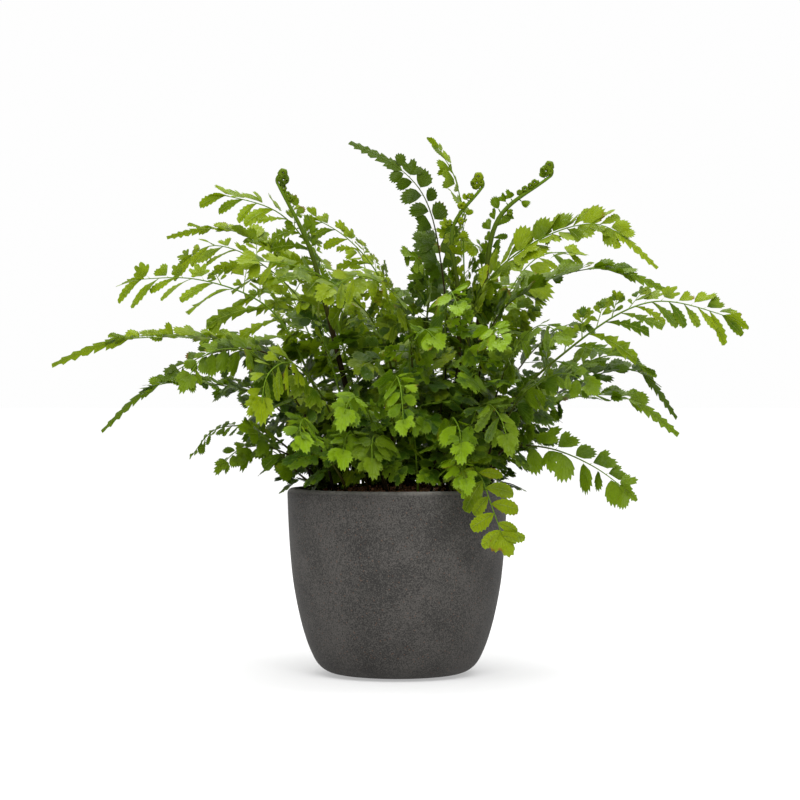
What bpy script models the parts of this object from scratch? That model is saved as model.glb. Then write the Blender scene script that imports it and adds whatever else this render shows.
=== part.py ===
# A mother fern in a dark grey cup-shaped pot.
# The pot holds soil with a plain hole for each frond's stem. Every frond is one closed body: a slim
# three-sided stem with toothed leaflets grown out of its two sides and a leaflet at its tip.
# Sizes are in millimetres and turn to metres when a mesh is made: +X right, +Y back, +Z up.
# The origin is the centre of the pot's flat underside.

import math
import random
from collections import namedtuple

import bmesh
import bpy
from mathutils import Matrix, Vector
from mathutils.bvhtree import BVHTree
from mathutils.geometry import tessellate_polygon

MM = 0.001
GAP = 0.3

# Edges that bend by more than this many degrees stay sharp
CREASE_ANGLE = 35.0
SOIL_CREASE_ANGLE = 60.0

# Pot: the outer wall's radius and height from the flat underside to the rim
POT_SIDES = 36
POT_WALL = 5.8
POT_FLOOR = 7.0
POT_OUTSIDE = (
    (30.0, 0.0),
    (41.0, 1.9),
    (46.6, 5.9),
    (51.4, 14.5),
    (55.6, 26.5),
    (58.8, 39.5),
    (61.5, 54.5),
    (63.3, 72.0),
    (64.4, 90.0),
    (65.0, 105.6),
)
RIM_HEIGHT = 110.0
LIP_RADIUS = 3.0
LIP_STEPS = 4
INSIDE_HEIGHTS = (80.0, 30.0, 12.0)
FLOOR_ROUNDING = 6.0

# Soil: a low mound that starts under the rim
SOIL_EDGE = 103.0
SOIL_RISE = 8.5
SOIL_LUMP = 0.9
SOIL_WIDE_WAVE = 21.0
SOIL_FINE_WAVE = 12.5
SOIL_RINGS = (12.0, 25.0, 37.0, 47.0, 54.5)
SOIL_SIDES = 20

# Stems: three sides, thick at the foot and thin at the tip
FOOT_DEPTH = 12.0
FOOT_RISE = 3.0
FOOT_RADIUS = 1.55
TIP_RADIUS = 0.6
STEM_TAPER = 0.8
STEM_STEPS = 4
SPLINE_STEPS = 24

# Leaflets: prisms with a cut edge. The outlines give (along, across) as shares of the length
LEAFLET_BASE = 1.9
BASE_TAPER = 0.35
BLADE_THICKNESS = 0.7
TOOTHED = ((0.47, -0.33), (0.64, -0.18), (1.0, 0.0), (0.64, 0.18), (0.47, 0.33))
FAN = ((0.70, -0.37), (0.78, -0.15), (1.0, 0.0), (0.78, 0.15), (0.70, 0.37))

# Their length along the frond, as shares of its longest leaflet
FIRST_PAIR_SHARE = 0.82
LAST_PAIR_SHARE = 0.45
LENGTH_TAPER = 0.7
LENGTH_SPREAD = 0.08

# How they stand, in degrees: swept forward, drooping. They cup by a share of their half width
SWEEP_BASE = 14.0
SWEEP_TIP = 38.0
SWEEP_SPREAD = 5.0
DROOP = 16.0
DROOP_SPREAD = 9.0
CUPPING = (-0.25, 0.2, 0.3)
CUPPING_ALONG = 0.25
TIP_CUPPING = 0.1

# The leaflet at the tip, and where it starts on the stem
TIP_LEAFLET_SHARE = 0.75
TIP_ROOM = 1.25
TIP_NECK = 0.5

# The blade that tests a leaflet's clearance: where it starts, and how much larger it is
TEST_START = 1.0
TEST_LENGTH = 1.03
TEST_WIDTH = 1.08
TEST_CLEARANCE = 0.72

# What a leaflet tries before it is left out: turned down, swept forward, share of its size
TRIES = (
    (0, 0, 1.0),
    (20, 0, 1.0),
    (-20, 0, 1.0),
    (0, 16, 0.9),
    (0, -14, 0.9),
    (38, 0, 0.9),
    (-38, 0, 0.9),
    (28, 18, 0.75),
    (-28, -12, 0.75),
    (55, 8, 0.7),
    (-50, 8, 0.7),
    (0, 10, 0.55),
)

# Croziers: a young frond's rolled tip
COIL_TURNS = 1.3
COIL_STEPS_A_TURN = 9
COIL_RADIUS = 3.5
COIL_END_RADIUS = 1.25
COIL_STEM = 0.75
COIL_TAPER = 0.25
COIL_ROOM = 12.0

# Colours of stems and leaves as linear red, green and blue
TINTS = {
    "young": (0.32, 0.52, 0.05),
    "light": (0.22, 0.42, 0.03),
    "mid": (0.10, 0.26, 0.015),
    "dark": (0.035, 0.11, 0.010),
}
POT_COLOUR = (0.075, 0.071, 0.066)
SOIL_COLOUR = (0.028, 0.016, 0.010)

# One row a frond: its tint, the bare share of its stem, pairs of leaflets, the longest leaflet, how far
# the blade turns to the front in degrees, and the points it passes from the soil to the tip.
Frond = namedtuple("Frond", "name tint bare pairs leaf turn root low middle high tip")
FRONDS = (
    # Left side
    ("left_01", "mid", 0.33, 6, 21, 22, (-34, 2),
     (-57, -4, 169), (-94, -8, 194), (-156, -18, 198), (-201, -26, 188)),
    ("left_02", "dark", 0.45, 5, 17, 25, (-40, -12),
     (-52, -18, 152), (-86, -26, 167), (-137, -34, 171), (-170, -42, 149)),
    ("left_03", "light", 0.42, 6, 25, 48, (-30, 14),
     (-49, 18, 168), (-77, 26, 217), (-120, 34, 235), (-172, 44, 235)),
    ("left_04", "light", 0.50, 5, 20, 40, (-24, 25),
     (-38, 32, 177), (-65, 42, 230), (-112, 52, 257), (-139, 60, 244)),
    ("left_05", "mid", 0.50, 4, 20, 12, (-17, 36),
     (-34, 46, 183), (-60, 58, 239), (-101, 72, 267), (-145, 86, 268)),
    ("left_06", "light", 0.52, 6, 22, 50, (-13, 12),
     (-29, 8, 180), (-45, 2, 238), (-68, -10, 271), (-112, -26, 284)),
    ("left_07", "dark", 0.35, 3, 12, 30, (-46, 9),
     (-64, 12, 132), (-85, 18, 145), (-110, 24, 144), (-126, 28, 126)),
    ("left_08", "dark", 0.35, 3, 15, 40, (-45, -3),
     (-57, -8, 125), (-79, -14, 135), (-94, -18, 132), (-106, -22, 119)),
    ("left_09", "mid", 0.25, 4, 20, 50, (-47, -21),
     (-58, -28, 120), (-71, -36, 135), (-82, -44, 145), (-92, -52, 148)),
    ("left_10", "dark", 0.40, 4, 19, 40, (-31, -7),
     (-50, -20, 165), (-78, -36, 190), (-108, -52, 188), (-134, -64, 173)),
    ("left_11", "light", 0.45, 4, 22, 60, (-27, -20),
     (-42, -44, 162), (-60, -70, 183), (-72, -93, 175), (-75, -104, 150)),
    ("left_12", "mid", 0.42, 4, 20, 50, (-37, -29),
     (-57, -44, 160), (-84, -62, 189), (-106, -78, 188), (-121, -90, 166)),
    ("left_13", "young", 0.50, 4, 18, 50, (-20, -13),
     (-34, -26, 168), (-41, -36, 194), (-48, -50, 216), (-59, -66, 219)),
    # Croziers and the fronds that stand highest
    ("crozier_left", "dark", 0.55, 3, 9, 60, (-12, 0),
     (-28, -4, 162), (-41, -10, 214), (-52, -16, 253), (-70, -20, 289)),
    ("crozier_middle", "dark", 0.55, 3, 12, 60, (22, 2),
     (35, 0, 168), (36, -4, 227), (33, -8, 264), (50, -13, 287)),
    ("crozier_right", "dark", 0.55, 4, 13, 60, (37, 11),
     (44, 12, 174), (52, 10, 228), (61, 8, 271), (91, 4, 295)),
    ("top_01", "light", 0.52, 5, 24, 35, (-4, -10),
     (-5, -24, 188), (-19, -36, 214), (-50, -52, 236), (-93, -70, 242)),
    ("top_02", "light", 0.52, 5, 22, 30, (6, -20),
     (9, -36, 179), (1, -52, 219), (-20, -68, 232), (-47, -86, 218)),
    ("top_03", "light", 0.55, 5, 20, 55, (0, 22),
     (0, 22, 174), (-10, 20, 234), (-30, 16, 259), (-58, 8, 275)),
    ("top_04", "dark", 0.48, 6, 19, 60, (17, 18),
     (29, 22, 180), (27, 26, 241), (14, 30, 289), (-29, 36, 324)),
    ("top_05", "young", 0.48, 6, 19, 55, (30, 15),
     (39, 14, 174), (40, 12, 240), (35, 9, 293), (18, 4, 321)),
    ("top_06", "light", 0.58, 3, 19, 40, (28, 27),
     (44, 26, 171), (56, 24, 228), (51, 22, 253), (34, 14, 257)),
    ("top_07", "mid", 0.55, 3, 18, 45, (8, 8),
     (12, 4, 174), (18, -6, 221), (14, -18, 243), (2, -36, 248)),
    # Right side
    ("right_01", "light", 0.42, 6, 23, 28, (31, -8),
     (39, -12, 168), (51, -22, 229), (94, -40, 260), (146, -60, 241)),
    ("right_02", "dark", 0.42, 6, 20, 25, (40, 1),
     (47, 2, 168), (63, 4, 216), (115, 4, 240), (165, 4, 229)),
    ("right_03", "light", 0.40, 7, 23, 60, (47, -11),
     (60, -20, 151), (94, -34, 187), (145, -50, 218), (199, -66, 206)),
    ("right_04", "mid", 0.42, 4, 17, 35, (49, 8),
     (71, 14, 147), (101, 22, 177), (132, 30, 189), (158, 38, 177)),
    ("right_05", "dark", 0.40, 5, 18, 35, (46, 20),
     (73, 32, 147), (109, 44, 172), (147, 58, 180), (174, 70, 155)),
    ("right_06", "dark", 0.45, 5, 18, 35, (55, -3),
     (68, -6, 148), (93, -8, 161), (131, -16, 164), (164, -24, 146)),
    ("right_07", "dark", 0.35, 5, 20, 60, (51, -20),
     (61, -36, 133), (84, -52, 135), (110, -68, 125), (134, -84, 107)),
    ("right_08", "mid", 0.45, 5, 20, 40, (42, -25),
     (56, -38, 161), (68, -55, 192), (81, -74, 204), (98, -96, 193)),
    ("right_09", "mid", 0.35, 4, 19, 45, (46, -28),
     (60, -44, 146), (74, -60, 167), (94, -76, 177), (114, -92, 165)),
    ("right_10", "light", 0.50, 5, 21, 30, (36, 26),
     (50, 30, 168), (66, 42, 223), (87, 54, 250), (120, 70, 254)),
    # Front
    ("front_01", "light", 0.35, 3, 18, 30, (-29, -40),
     (-43, -56, 135), (-52, -72, 151), (-54, -86, 146), (-50, -96, 133)),
    ("front_02", "light", 0.35, 3, 18, 30, (-17, -33),
     (-25, -48, 129), (-26, -62, 144), (-29, -76, 140), (-31, -86, 124)),
    ("front_03", "light", 0.18, 5, 18, 30, (39, -34),
     (39, -54, 127), (47, -68, 119), (54, -76, 100), (63, -80, 75)),
    ("front_04", "young", 0.50, 4, 20, 20, (32, -20),
     (41, -38, 156), (50, -58, 193), (54, -80, 203), (58, -110, 189)),
    ("front_05", "young", 0.55, 4, 20, 20, (21, -12),
     (27, -30, 174), (28, -48, 212), (30, -70, 223), (35, -102, 210)),
    ("front_06", "light", 0.50, 4, 19, 20, (12, -24),
     (8, -40, 168), (8, -54, 195), (15, -68, 202), (25, -88, 191)),
    ("front_07", "young", 0.42, 4, 20, 20, (0, -32),
     (-2, -52, 153), (-1, -74, 175), (2, -94, 169), (4, -108, 142)),
    ("front_08", "young", 0.45, 2, 15, 60, (12, -42),
     (11, -47, 129), (10, -50, 139), (9, -53, 147), (7, -57, 155)),
    ("front_09", "mid", 0.40, 4, 21, 20, (29, -30),
     (41, -50, 145), (49, -72, 160), (57, -92, 153), (63, -104, 131)),
    ("front_10", "light", 0.38, 4, 20, 20, (20, -33),
     (29, -48, 136), (31, -64, 152), (35, -80, 145), (36, -92, 127)),
    ("front_11", "light", 0.42, 4, 20, 20, (-8, -28),
     (-13, -46, 145), (-21, -66, 163), (-27, -82, 161), (-31, -92, 146)),
    ("front_12", "mid", 0.35, 3, 18, 20, (-6, -43),
     (-10, -55, 130), (-12, -67, 142), (-14, -80, 138), (-13, -91, 119)),
    ("front_13", "light", 0.25, 3, 16, 20, (24, -44),
     (31, -56, 122), (33, -68, 129), (36, -80, 124), (41, -88, 109)),
    # Back
    ("back_01", "mid", 0.42, 3, 20, 0, (-40, 29),
     (-60, 60, 162), (-90, 100, 200), (-106, 120, 205), (-118, 135, 198)),
    ("back_02", "light", 0.45, 3, 21, 0, (-30, 40),
     (-45, 75, 174), (-68, 110, 229), (-79, 130, 242), (-88, 145, 247)),
    ("back_03", "mid", 0.45, 3, 21, 0, (-16, 47),
     (-26, 80, 181), (-40, 115, 233), (-47, 134, 247), (-52, 150, 253)),
    ("back_04", "light", 0.50, 4, 20, 0, (-5, 36),
     (-11, 60, 174), (-17, 95, 232), (-22, 114, 251), (-27, 130, 262)),
    ("back_05", "mid", 0.45, 3, 21, 0, (6, 47),
     (2, 80, 181), (3, 120, 226), (3, 142, 234), (2, 158, 231)),
    ("back_06", "dark", 0.50, 3, 20, 0, (17, 37),
     (15, 65, 181), (21, 95, 238), (19, 109, 258), (15, 120, 275)),
    ("back_07", "light", 0.45, 3, 21, 0, (27, 46),
     (29, 80, 175), (39, 120, 223), (44, 140, 234), (47, 155, 236)),
    ("back_08", "mid", 0.45, 3, 21, 0, (39, 38),
     (49, 75, 174), (69, 110, 223), (79, 129, 237), (87, 145, 243)),
    ("back_09", "dark", 0.42, 3, 20, 0, (47, 26),
     (64, 65, 162), (96, 100, 203), (113, 117, 211), (126, 130, 209)),
    ("back_10", "dark", 0.40, 3, 18, 0, (-51, 18),
     (-65, 40, 147), (-95, 75, 171), (-107, 90, 171), (-116, 100, 161)),
    ("back_11", "mid", 0.35, 3, 18, 0, (-3, 51),
     (-3, 80, 139), (-6, 110, 153), (-6, 128, 149), (-5, 142, 132)),
)


def clear_scene():
    for thing in list(bpy.data.objects):
        bpy.data.objects.remove(thing, do_unlink=True)


def make_material(name, colour, roughness, metallic=0.0):
    material = bpy.data.materials.new(name)
    material.use_nodes = True
    shader = material.node_tree.nodes["Principled BSDF"]
    shader.inputs["Base Color"].default_value = (*colour, 1.0)
    shader.inputs["Roughness"].default_value = roughness
    shader.inputs["Metallic"].default_value = metallic
    material.diffuse_color = (*colour, 1.0)
    return material


def add_solid(name, points, faces, material, origin=(0.0, 0.0, 0.0), crease=CREASE_ANGLE):
    """Makes one object from points in millimetres, with its own origin and its faces turned outwards."""
    mesh = bpy.data.meshes.new(name)
    bm = bmesh.new()
    origin = Vector(origin)
    corners = [bm.verts.new((Vector(point) - origin) * MM) for point in points]
    for face in faces:
        bm.faces.new([corners[index] for index in face])
    bmesh.ops.recalc_face_normals(bm, faces=bm.faces)
    bmesh.ops.triangulate(bm, faces=[face for face in bm.faces if len(face.verts) > 3])
    bm.to_mesh(mesh)
    bm.free()
    mesh.shade_smooth()
    mesh.set_sharp_from_angle(angle=math.radians(crease))
    mesh.materials.append(material)
    solid = bpy.data.objects.new(name, mesh)
    solid.location = origin * MM
    bpy.context.scene.collection.objects.link(solid)
    return solid


# Pot and soil


def lip_profile():
    """The rounded rim, from the outer wall over the top to the inner wall."""
    outer = POT_OUTSIDE[-1][0]
    half_wall = POT_WALL / 2
    rise = RIM_HEIGHT - LIP_RADIUS
    profile = []
    for step in range(LIP_STEPS + 1):
        angle = math.pi * step / LIP_STEPS
        across = outer - half_wall + half_wall * math.cos(angle)
        profile.append((across, rise + LIP_RADIUS * math.sin(angle)))
    return profile


def inner_radius(height):
    """The inner wall's radius: the outer one less the wall."""
    for (r0, z0), (r1, z1) in zip(POT_OUTSIDE, POT_OUTSIDE[1:]):
        if height <= z1:
            return r0 + (r1 - r0) * (height - z0) / (z1 - z0) - POT_WALL
    return POT_OUTSIDE[-1][0] - POT_WALL


def pot_profile():
    inside = [(inner_radius(height), height) for height in INSIDE_HEIGHTS]
    floor = [(inside[-1][0] - FLOOR_ROUNDING, POT_FLOOR)]
    return list(POT_OUTSIDE) + lip_profile() + inside + floor


def turned(profile, sides):
    """Points and faces of a closed body turned about the upright axis, flat at both ends."""
    points = [(0.0, 0.0, profile[0][1]), (0.0, 0.0, profile[-1][1])]
    for radius, height in profile:
        for side in range(sides):
            angle = 2 * math.pi * side / sides
            points.append((radius * math.cos(angle), radius * math.sin(angle), height))
    faces = []
    for side in range(sides):
        beside = (side + 1) % sides
        faces.append((0, 2 + side, 2 + beside))
        last = 2 + (len(profile) - 1) * sides
        faces.append((1, last + side, last + beside))
        for row in range(len(profile) - 1):
            low = 2 + row * sides
            high = low + sides
            faces.append((low + side, low + beside, high + beside, high + side))
    return points, faces


def make_pot():
    points, faces = turned(pot_profile(), POT_SIDES)
    return add_solid("pot", points, faces, make_material("cement_dark_grey", POT_COLOUR, 0.85))


def soil_height(x, y):
    """The mound's height, with low lumps."""
    reach = min(1.0, math.hypot(x, y) / POT_OUTSIDE[-1][0])
    wide = math.sin(2 * math.pi * x / SOIL_WIDE_WAVE + 1.0) * math.cos(2 * math.pi * y / SOIL_WIDE_WAVE)
    fine = math.sin(2 * math.pi * (x - y) / SOIL_FINE_WAVE)
    return SOIL_EDGE + SOIL_RISE * (1 - reach * reach) + SOIL_LUMP * (wide + fine / 2) * (1 - reach)


def soil_profile():
    """Down the pot's inner wall and across its floor, a gap clear of both."""
    side = [(inner_radius(height) - GAP, height + GAP) for height in INSIDE_HEIGHTS]
    floor = [(side[-1][0] - FLOOR_ROUNDING, POT_FLOOR + GAP)]
    return side + floor


def make_soil(fronds):
    edge = inner_radius(SOIL_EDGE) - GAP
    rings = [(radius, None) for radius in SOIL_RINGS]
    rings.append((edge, None))
    rings.extend(soil_profile())
    points = [(0.0, 0.0, soil_height(0, 0)), (0.0, 0.0, POT_FLOOR + GAP)]
    for radius, height in rings:
        for side in range(SOIL_SIDES):
            angle = 2 * math.pi * side / SOIL_SIDES
            x = radius * math.cos(angle)
            y = radius * math.sin(angle)
            points.append((x, y, soil_height(x, y) if height is None else height))
    faces = []
    last = 2 + (len(rings) - 1) * SOIL_SIDES
    for side in range(SOIL_SIDES):
        beside = (side + 1) % SOIL_SIDES
        faces.append((0, 2 + side, 2 + beside))
        faces.append((1, last + side, last + beside))
        for row in range(len(rings) - 1):
            low = 2 + row * SOIL_SIDES
            high = low + SOIL_SIDES
            faces.append((low + side, low + beside, high + beside, high + side))
    material = make_material("potting_soil", SOIL_COLOUR, 1.0)
    soil = add_solid("soil", points, faces, material, crease=SOIL_CREASE_ANGLE)
    cut_stem_holes(soil, fronds)
    return soil


def cut_stem_holes(soil, fronds):
    """A plain three-sided hole for each stem's foot, a gap wider than the foot all round."""
    points = []
    faces = []
    for frond in fronds:
        frame = foot_frame(frond)
        x, y = frond.root
        first = len(points)
        for height in (soil_height(x, y) - FOOT_DEPTH - GAP, soil_height(x, y) + FOOT_RISE):
            points.extend(section(Vector((x, y, height)), frame, FOOT_RADIUS + 2 * GAP))
        faces.append((first, first + 1, first + 2))
        faces.append((first + 3, first + 4, first + 5))
        for corner in range(3):
            after = (corner + 1) % 3
            faces.append((first + corner, first + after, first + 3 + after, first + 3 + corner))
    cutter = add_solid("stem_holes", points, faces, soil.data.materials[0])
    cutter.hide_render = True
    cutter.display_type = "WIRE"
    holes = soil.modifiers.new("stem_holes", "BOOLEAN")
    holes.operation = "DIFFERENCE"
    holes.solver = "EXACT"
    holes.object = cutter


# Routes of the stems


def spline(points):
    """A smooth line through the points, as many short steps."""
    ends = [points[0] * 2 - points[1], *points, points[-1] * 2 - points[-2]]
    line = []
    for before, start, end, after in zip(ends, ends[1:], ends[2:], ends[3:]):
        span = (end - start).length
        leave = ((start - before) / (start - before).length + (end - start) / span) * span / 2
        arrive = ((end - start) / span + (after - end) / (after - end).length) * span / 2
        for step in range(SPLINE_STEPS):
            t = step / SPLINE_STEPS
            line.append(
                start * (2 * t**3 - 3 * t**2 + 1)
                + leave * (t**3 - 2 * t**2 + t)
                + end * (3 * t**2 - 2 * t**3)
                + arrive * (t**3 - t**2)
            )
    line.append(points[-1])
    return line


def frond_line(frond):
    """From the bottom of the foot's hole, upright through the soil, and on to the tip."""
    x, y = frond.root
    ground = soil_height(x, y)
    foot = [Vector((x, y, ground - FOOT_DEPTH)), Vector((x, y, ground + FOOT_RISE))]
    return spline(foot + [Vector(point) for point in (frond.low, frond.middle, frond.high, frond.tip)])


def measured(line):
    """The line's distances from its start, one for each point."""
    reached = [0.0]
    for start, end in zip(line, line[1:]):
        reached.append(reached[-1] + (end - start).length)
    return reached


def place_on(line, reached, distance):
    """The point and the direction of the line at a distance from its start."""
    distance = min(max(distance, 0.0), reached[-1])
    index = 0
    while index < len(line) - 2 and reached[index + 1] < distance:
        index += 1
    share = (distance - reached[index]) / (reached[index + 1] - reached[index])
    here = line[max(index - 1, 0)]
    there = line[min(index + 2, len(line) - 1)]
    return line[index].lerp(line[index + 1], share), (there - here).normalized()


def frame_at(frond, ahead, turn):
    """Side, top and forward directions of a stem. The top looks up, rolled turn degrees to the front."""
    out = Vector((frond.tip[0] - frond.root[0], frond.tip[1] - frond.root[1], 0.0)).normalized()
    side = out.cross(Vector((0.0, 0.0, 1.0)))
    side = (side - ahead * side.dot(ahead)).normalized()
    angle = math.radians(turn if out.x > 0 else -turn)
    top = Matrix.Rotation(angle, 3, ahead) @ side.cross(ahead)
    return Matrix((ahead.cross(top), top, ahead))


def foot_frame(frond):
    return frame_at(frond, Vector((0.0, 0.0, 1.0)), 0.0)


def section(centre, frame, radius):
    """The stem's three corners: left and right of its flat top, and below."""
    side, top, _ = frame
    across = side * radius * math.cos(math.radians(30))
    return (
        centre - across + top * radius / 2,
        centre + across + top * radius / 2,
        centre - top * radius,
    )


# Leaflets


def leaflet_outline(length, fan):
    """The cut edge of one leaflet: blunt and fan-shaped on light fronds, toothed on the others."""
    return [(along * length, across * length) for along, across in (FAN if fan else TOOTHED)]


def blade_points(origin, axes, outline, lift, thickness):
    """The outline's corners on the blade's upper and lower faces. The blade cups by lift."""
    along, across, normal = axes
    upper = []
    lower = []
    for u, v in outline:
        middle = origin + along * u + across * v + normal * (abs(v) * lift - u * abs(lift) * CUPPING_ALONG)
        upper.append(middle + normal * thickness / 2)
        lower.append(middle - normal * thickness / 2)
    return upper, lower


def side_axes(frame, right, sweep, droop):
    """Directions along, across and off a leaflet that leaves the stem to the right or left."""
    side, top, ahead = frame
    out = side if right else -side
    down = math.radians(droop)
    level = out * math.cos(down) - top * math.sin(down)
    forward = math.radians(sweep)
    along = level * math.cos(forward) + ahead * math.sin(forward)
    across = (ahead - along * ahead.dot(along)).normalized()
    normal = along.cross(across) if right else across.cross(along)
    return along, across, normal


def split(outline, start, end):
    """Triangles of a blade's face as indices: 0 and 1 are the base corners, the rest the outline."""
    flat = [Vector((*start, 0.0)), *(Vector((*point, 0.0)) for point in outline), Vector((*end, 0.0))]
    order = [0, *range(2, 2 + len(outline)), 1]
    return [tuple(order[index] for index in triangle) for triangle in tessellate_polygon([flat])]


def blade_faces(base_upper, base_lower, upper, lower, triangles):
    """Both faces, split alike, and the cut edge. Base corners that are one point close the body there."""
    top_ring = [*base_upper, *upper]
    low_ring = [*base_lower, *lower]
    faces = []
    for triangle in triangles:
        faces.append(tuple(top_ring[index] for index in triangle))
        under = tuple(low_ring[index] for index in triangle)
        if len(set(under)) == 3:
            faces.append(under)
    top_edge = [base_upper[0], *upper, base_upper[1]]
    low_edge = [base_lower[0], *lower, base_lower[1]]
    for index in range(len(top_edge) - 1):
        faces.append((top_edge[index], top_edge[index + 1], low_edge[index + 1], low_edge[index]))
    return faces


def test_blade(origin, axes, outline, lift):
    """A closed blade a little larger than the leaflet, to see that the real one keeps its gap."""
    wide = [(u * TEST_LENGTH + GAP, v * TEST_WIDTH) for u, v in outline]
    upper, lower = blade_points(origin, axes, wide, lift, BLADE_THICKNESS + TEST_CLEARANCE)
    start = [origin + axes[0] * TEST_START + axes[1] * side * LEAFLET_BASE / 2 for side in (-1, 1)]
    points = [start[0], start[1], *upper, *lower]
    count = len(upper)
    faces = []
    for u, v, w in split(wide, (TEST_START, -LEAFLET_BASE / 2), (TEST_START, LEAFLET_BASE / 2)):
        faces.append((u, v, w))
        faces.append(tuple(index if index < 2 else index + count for index in (u, v, w)))
    for index in range(2, 1 + count):
        faces.append((index, index + 1, index + 1 + count, index + count))
    return BVHTree.FromPolygons(points, faces)


# Fronds


class Grower:
    """One frond as it grows: its points, its faces and the places where leaflets may stand."""

    def __init__(self, number, frond):
        self.frond = frond
        self.random = random.Random(number)
        self.line = frond_line(frond)
        self.reached = measured(self.line)
        self.points = []
        self.faces = []
        self.sites = []
        self.last_ring = None

    def length(self):
        return self.reached[-1]

    def bare(self):
        return FOOT_DEPTH + FOOT_RISE + self.frond.bare * (self.length() - FOOT_DEPTH - FOOT_RISE)

    def radius(self, distance):
        share = max(0.0, (distance - FOOT_DEPTH) / (self.length() - FOOT_DEPTH))
        return FOOT_RADIUS + (TIP_RADIUS - FOOT_RADIUS) * share**STEM_TAPER

    def frame(self, distance):
        turn = self.frond.turn * min(1.0, distance / self.bare()) ** 2
        if distance <= FOOT_DEPTH + FOOT_RISE:
            return foot_frame(self.frond)
        _, ahead = place_on(self.line, self.reached, distance)
        return frame_at(self.frond, ahead, turn)

    def add_ring(self, distance):
        centre, _ = place_on(self.line, self.reached, distance)
        return self.add_corners(section(centre, self.frame(distance), self.radius(distance)))

    def add_corners(self, ring):
        first = len(self.points)
        self.points.extend(ring)
        return first, first + 1, first + 2

    def join(self, ring, after, open_sides=()):
        """The stem's faces between two rings: the flat top, the right and the left side."""
        sides = {"top": (0, 1), "right": (1, 2), "left": (2, 0)}
        for name, (a, b) in sides.items():
            if name not in open_sides:
                self.faces.append((ring[a], ring[b], after[b], after[a]))

    def leaf_size(self, share):
        """A leaflet's length: shorter at the first pair, and again towards the tip."""
        if share == 0:
            return self.frond.leaf * FIRST_PAIR_SHARE
        return self.frond.leaf * (LAST_PAIR_SHARE + (1 - LAST_PAIR_SHARE) * (1.0 - share) ** LENGTH_TAPER)

    def grow_stem(self):
        """The stem's rings from the foot to the tip, with a short span for each pair of leaflets."""
        rings = [self.add_ring(0.0), self.add_ring(FOOT_DEPTH + FOOT_RISE)]
        for step in range(1, STEM_STEPS):
            share = step / STEM_STEPS
            rings.append(self.add_ring(FOOT_DEPTH + FOOT_RISE + share * (self.bare() - FOOT_DEPTH - FOOT_RISE)))
        self.faces.append(rings[0])
        for ring, after in zip(rings, rings[1:]):
            self.join(ring, after)
        self.last_ring = rings[-1]
        pairs = self.frond.pairs
        end = self.blade_end()
        for pair in range(pairs):
            share = pair / pairs
            middle = self.bare() + (end - self.bare()) * share
            half = LEAFLET_BASE / 2 * (1.0 - BASE_TAPER * share)
            ring = self.add_ring(middle - half)
            after = self.add_ring(middle + half)
            self.join(self.last_ring, ring)
            self.sites.append((middle, share, ring, after))
            self.last_ring = after

    def rolled(self):
        return self.frond.name.startswith("crozier")

    def blade_end(self):
        if self.rolled():
            return self.length() - COIL_ROOM
        return self.length() - TIP_ROOM * TIP_LEAFLET_SHARE * self.leaf_size(1.0)

    def stem_tree(self):
        """The stem alone, for the clearance of its neighbours."""
        faces = list(self.faces)
        for _, _, ring, after in self.sites:
            for a, b in ((0, 1), (1, 2), (2, 0)):
                faces.append((ring[a], ring[b], after[b], after[a]))
        return BVHTree.FromPolygons(self.points, faces)

    def grow_leaflets(self, obstacles):
        own = []
        for middle, share, ring, after in self.sites:
            frame = self.frame(middle)
            taken = []
            for name, corners in (("right", (1, 2)), ("left", (0, 2))):
                if self.grow_leaflet(frame, share, ring, after, name, corners, obstacles + own, own):
                    taken.append(name)
            self.join(ring, after, taken)
        return own

    def grow_leaflet(self, frame, share, ring, after, name, corners, obstacles, own):
        """Grows a leaflet from one side of the stem, in the first of its tries that clears the rest."""
        upper_corner, lower_corner = corners
        base = [self.points[ring[c]] for c in corners] + [self.points[after[c]] for c in corners]
        origin = sum(base, Vector()) / 4
        size = self.leaf_size(share) * self.random.uniform(1 - LENGTH_SPREAD, 1 + LENGTH_SPREAD)
        lift = self.random.choice(CUPPING)
        sweep = SWEEP_BASE + (SWEEP_TIP - SWEEP_BASE) * share
        sweep += self.random.uniform(-SWEEP_SPREAD, SWEEP_SPREAD)
        droop = DROOP + self.random.uniform(-DROOP_SPREAD, DROOP_SPREAD)
        fan = self.frond.tint in ("young", "light")
        for turned_down, swept, scale in TRIES:
            axes = side_axes(frame, name == "right", sweep + swept, droop + turned_down)
            outline = leaflet_outline(size * scale, fan)
            test = test_blade(origin, axes, outline, lift)
            if any(test.overlap(tree) for tree in obstacles):
                continue
            own.append(test)
            upper, lower = blade_points(origin, axes, outline, lift, BLADE_THICKNESS)
            first = len(self.points)
            self.points.extend(upper + lower)
            half = LEAFLET_BASE / 2
            count = len(outline)
            self.faces.extend(
                blade_faces(
                    (ring[upper_corner], after[upper_corner]),
                    (ring[lower_corner], after[lower_corner]),
                    list(range(first, first + count)),
                    list(range(first + count, first + 2 * count)),
                    split(outline, (0.0, -half), (0.0, half)),
                )
            )
            return True
        return False

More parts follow.
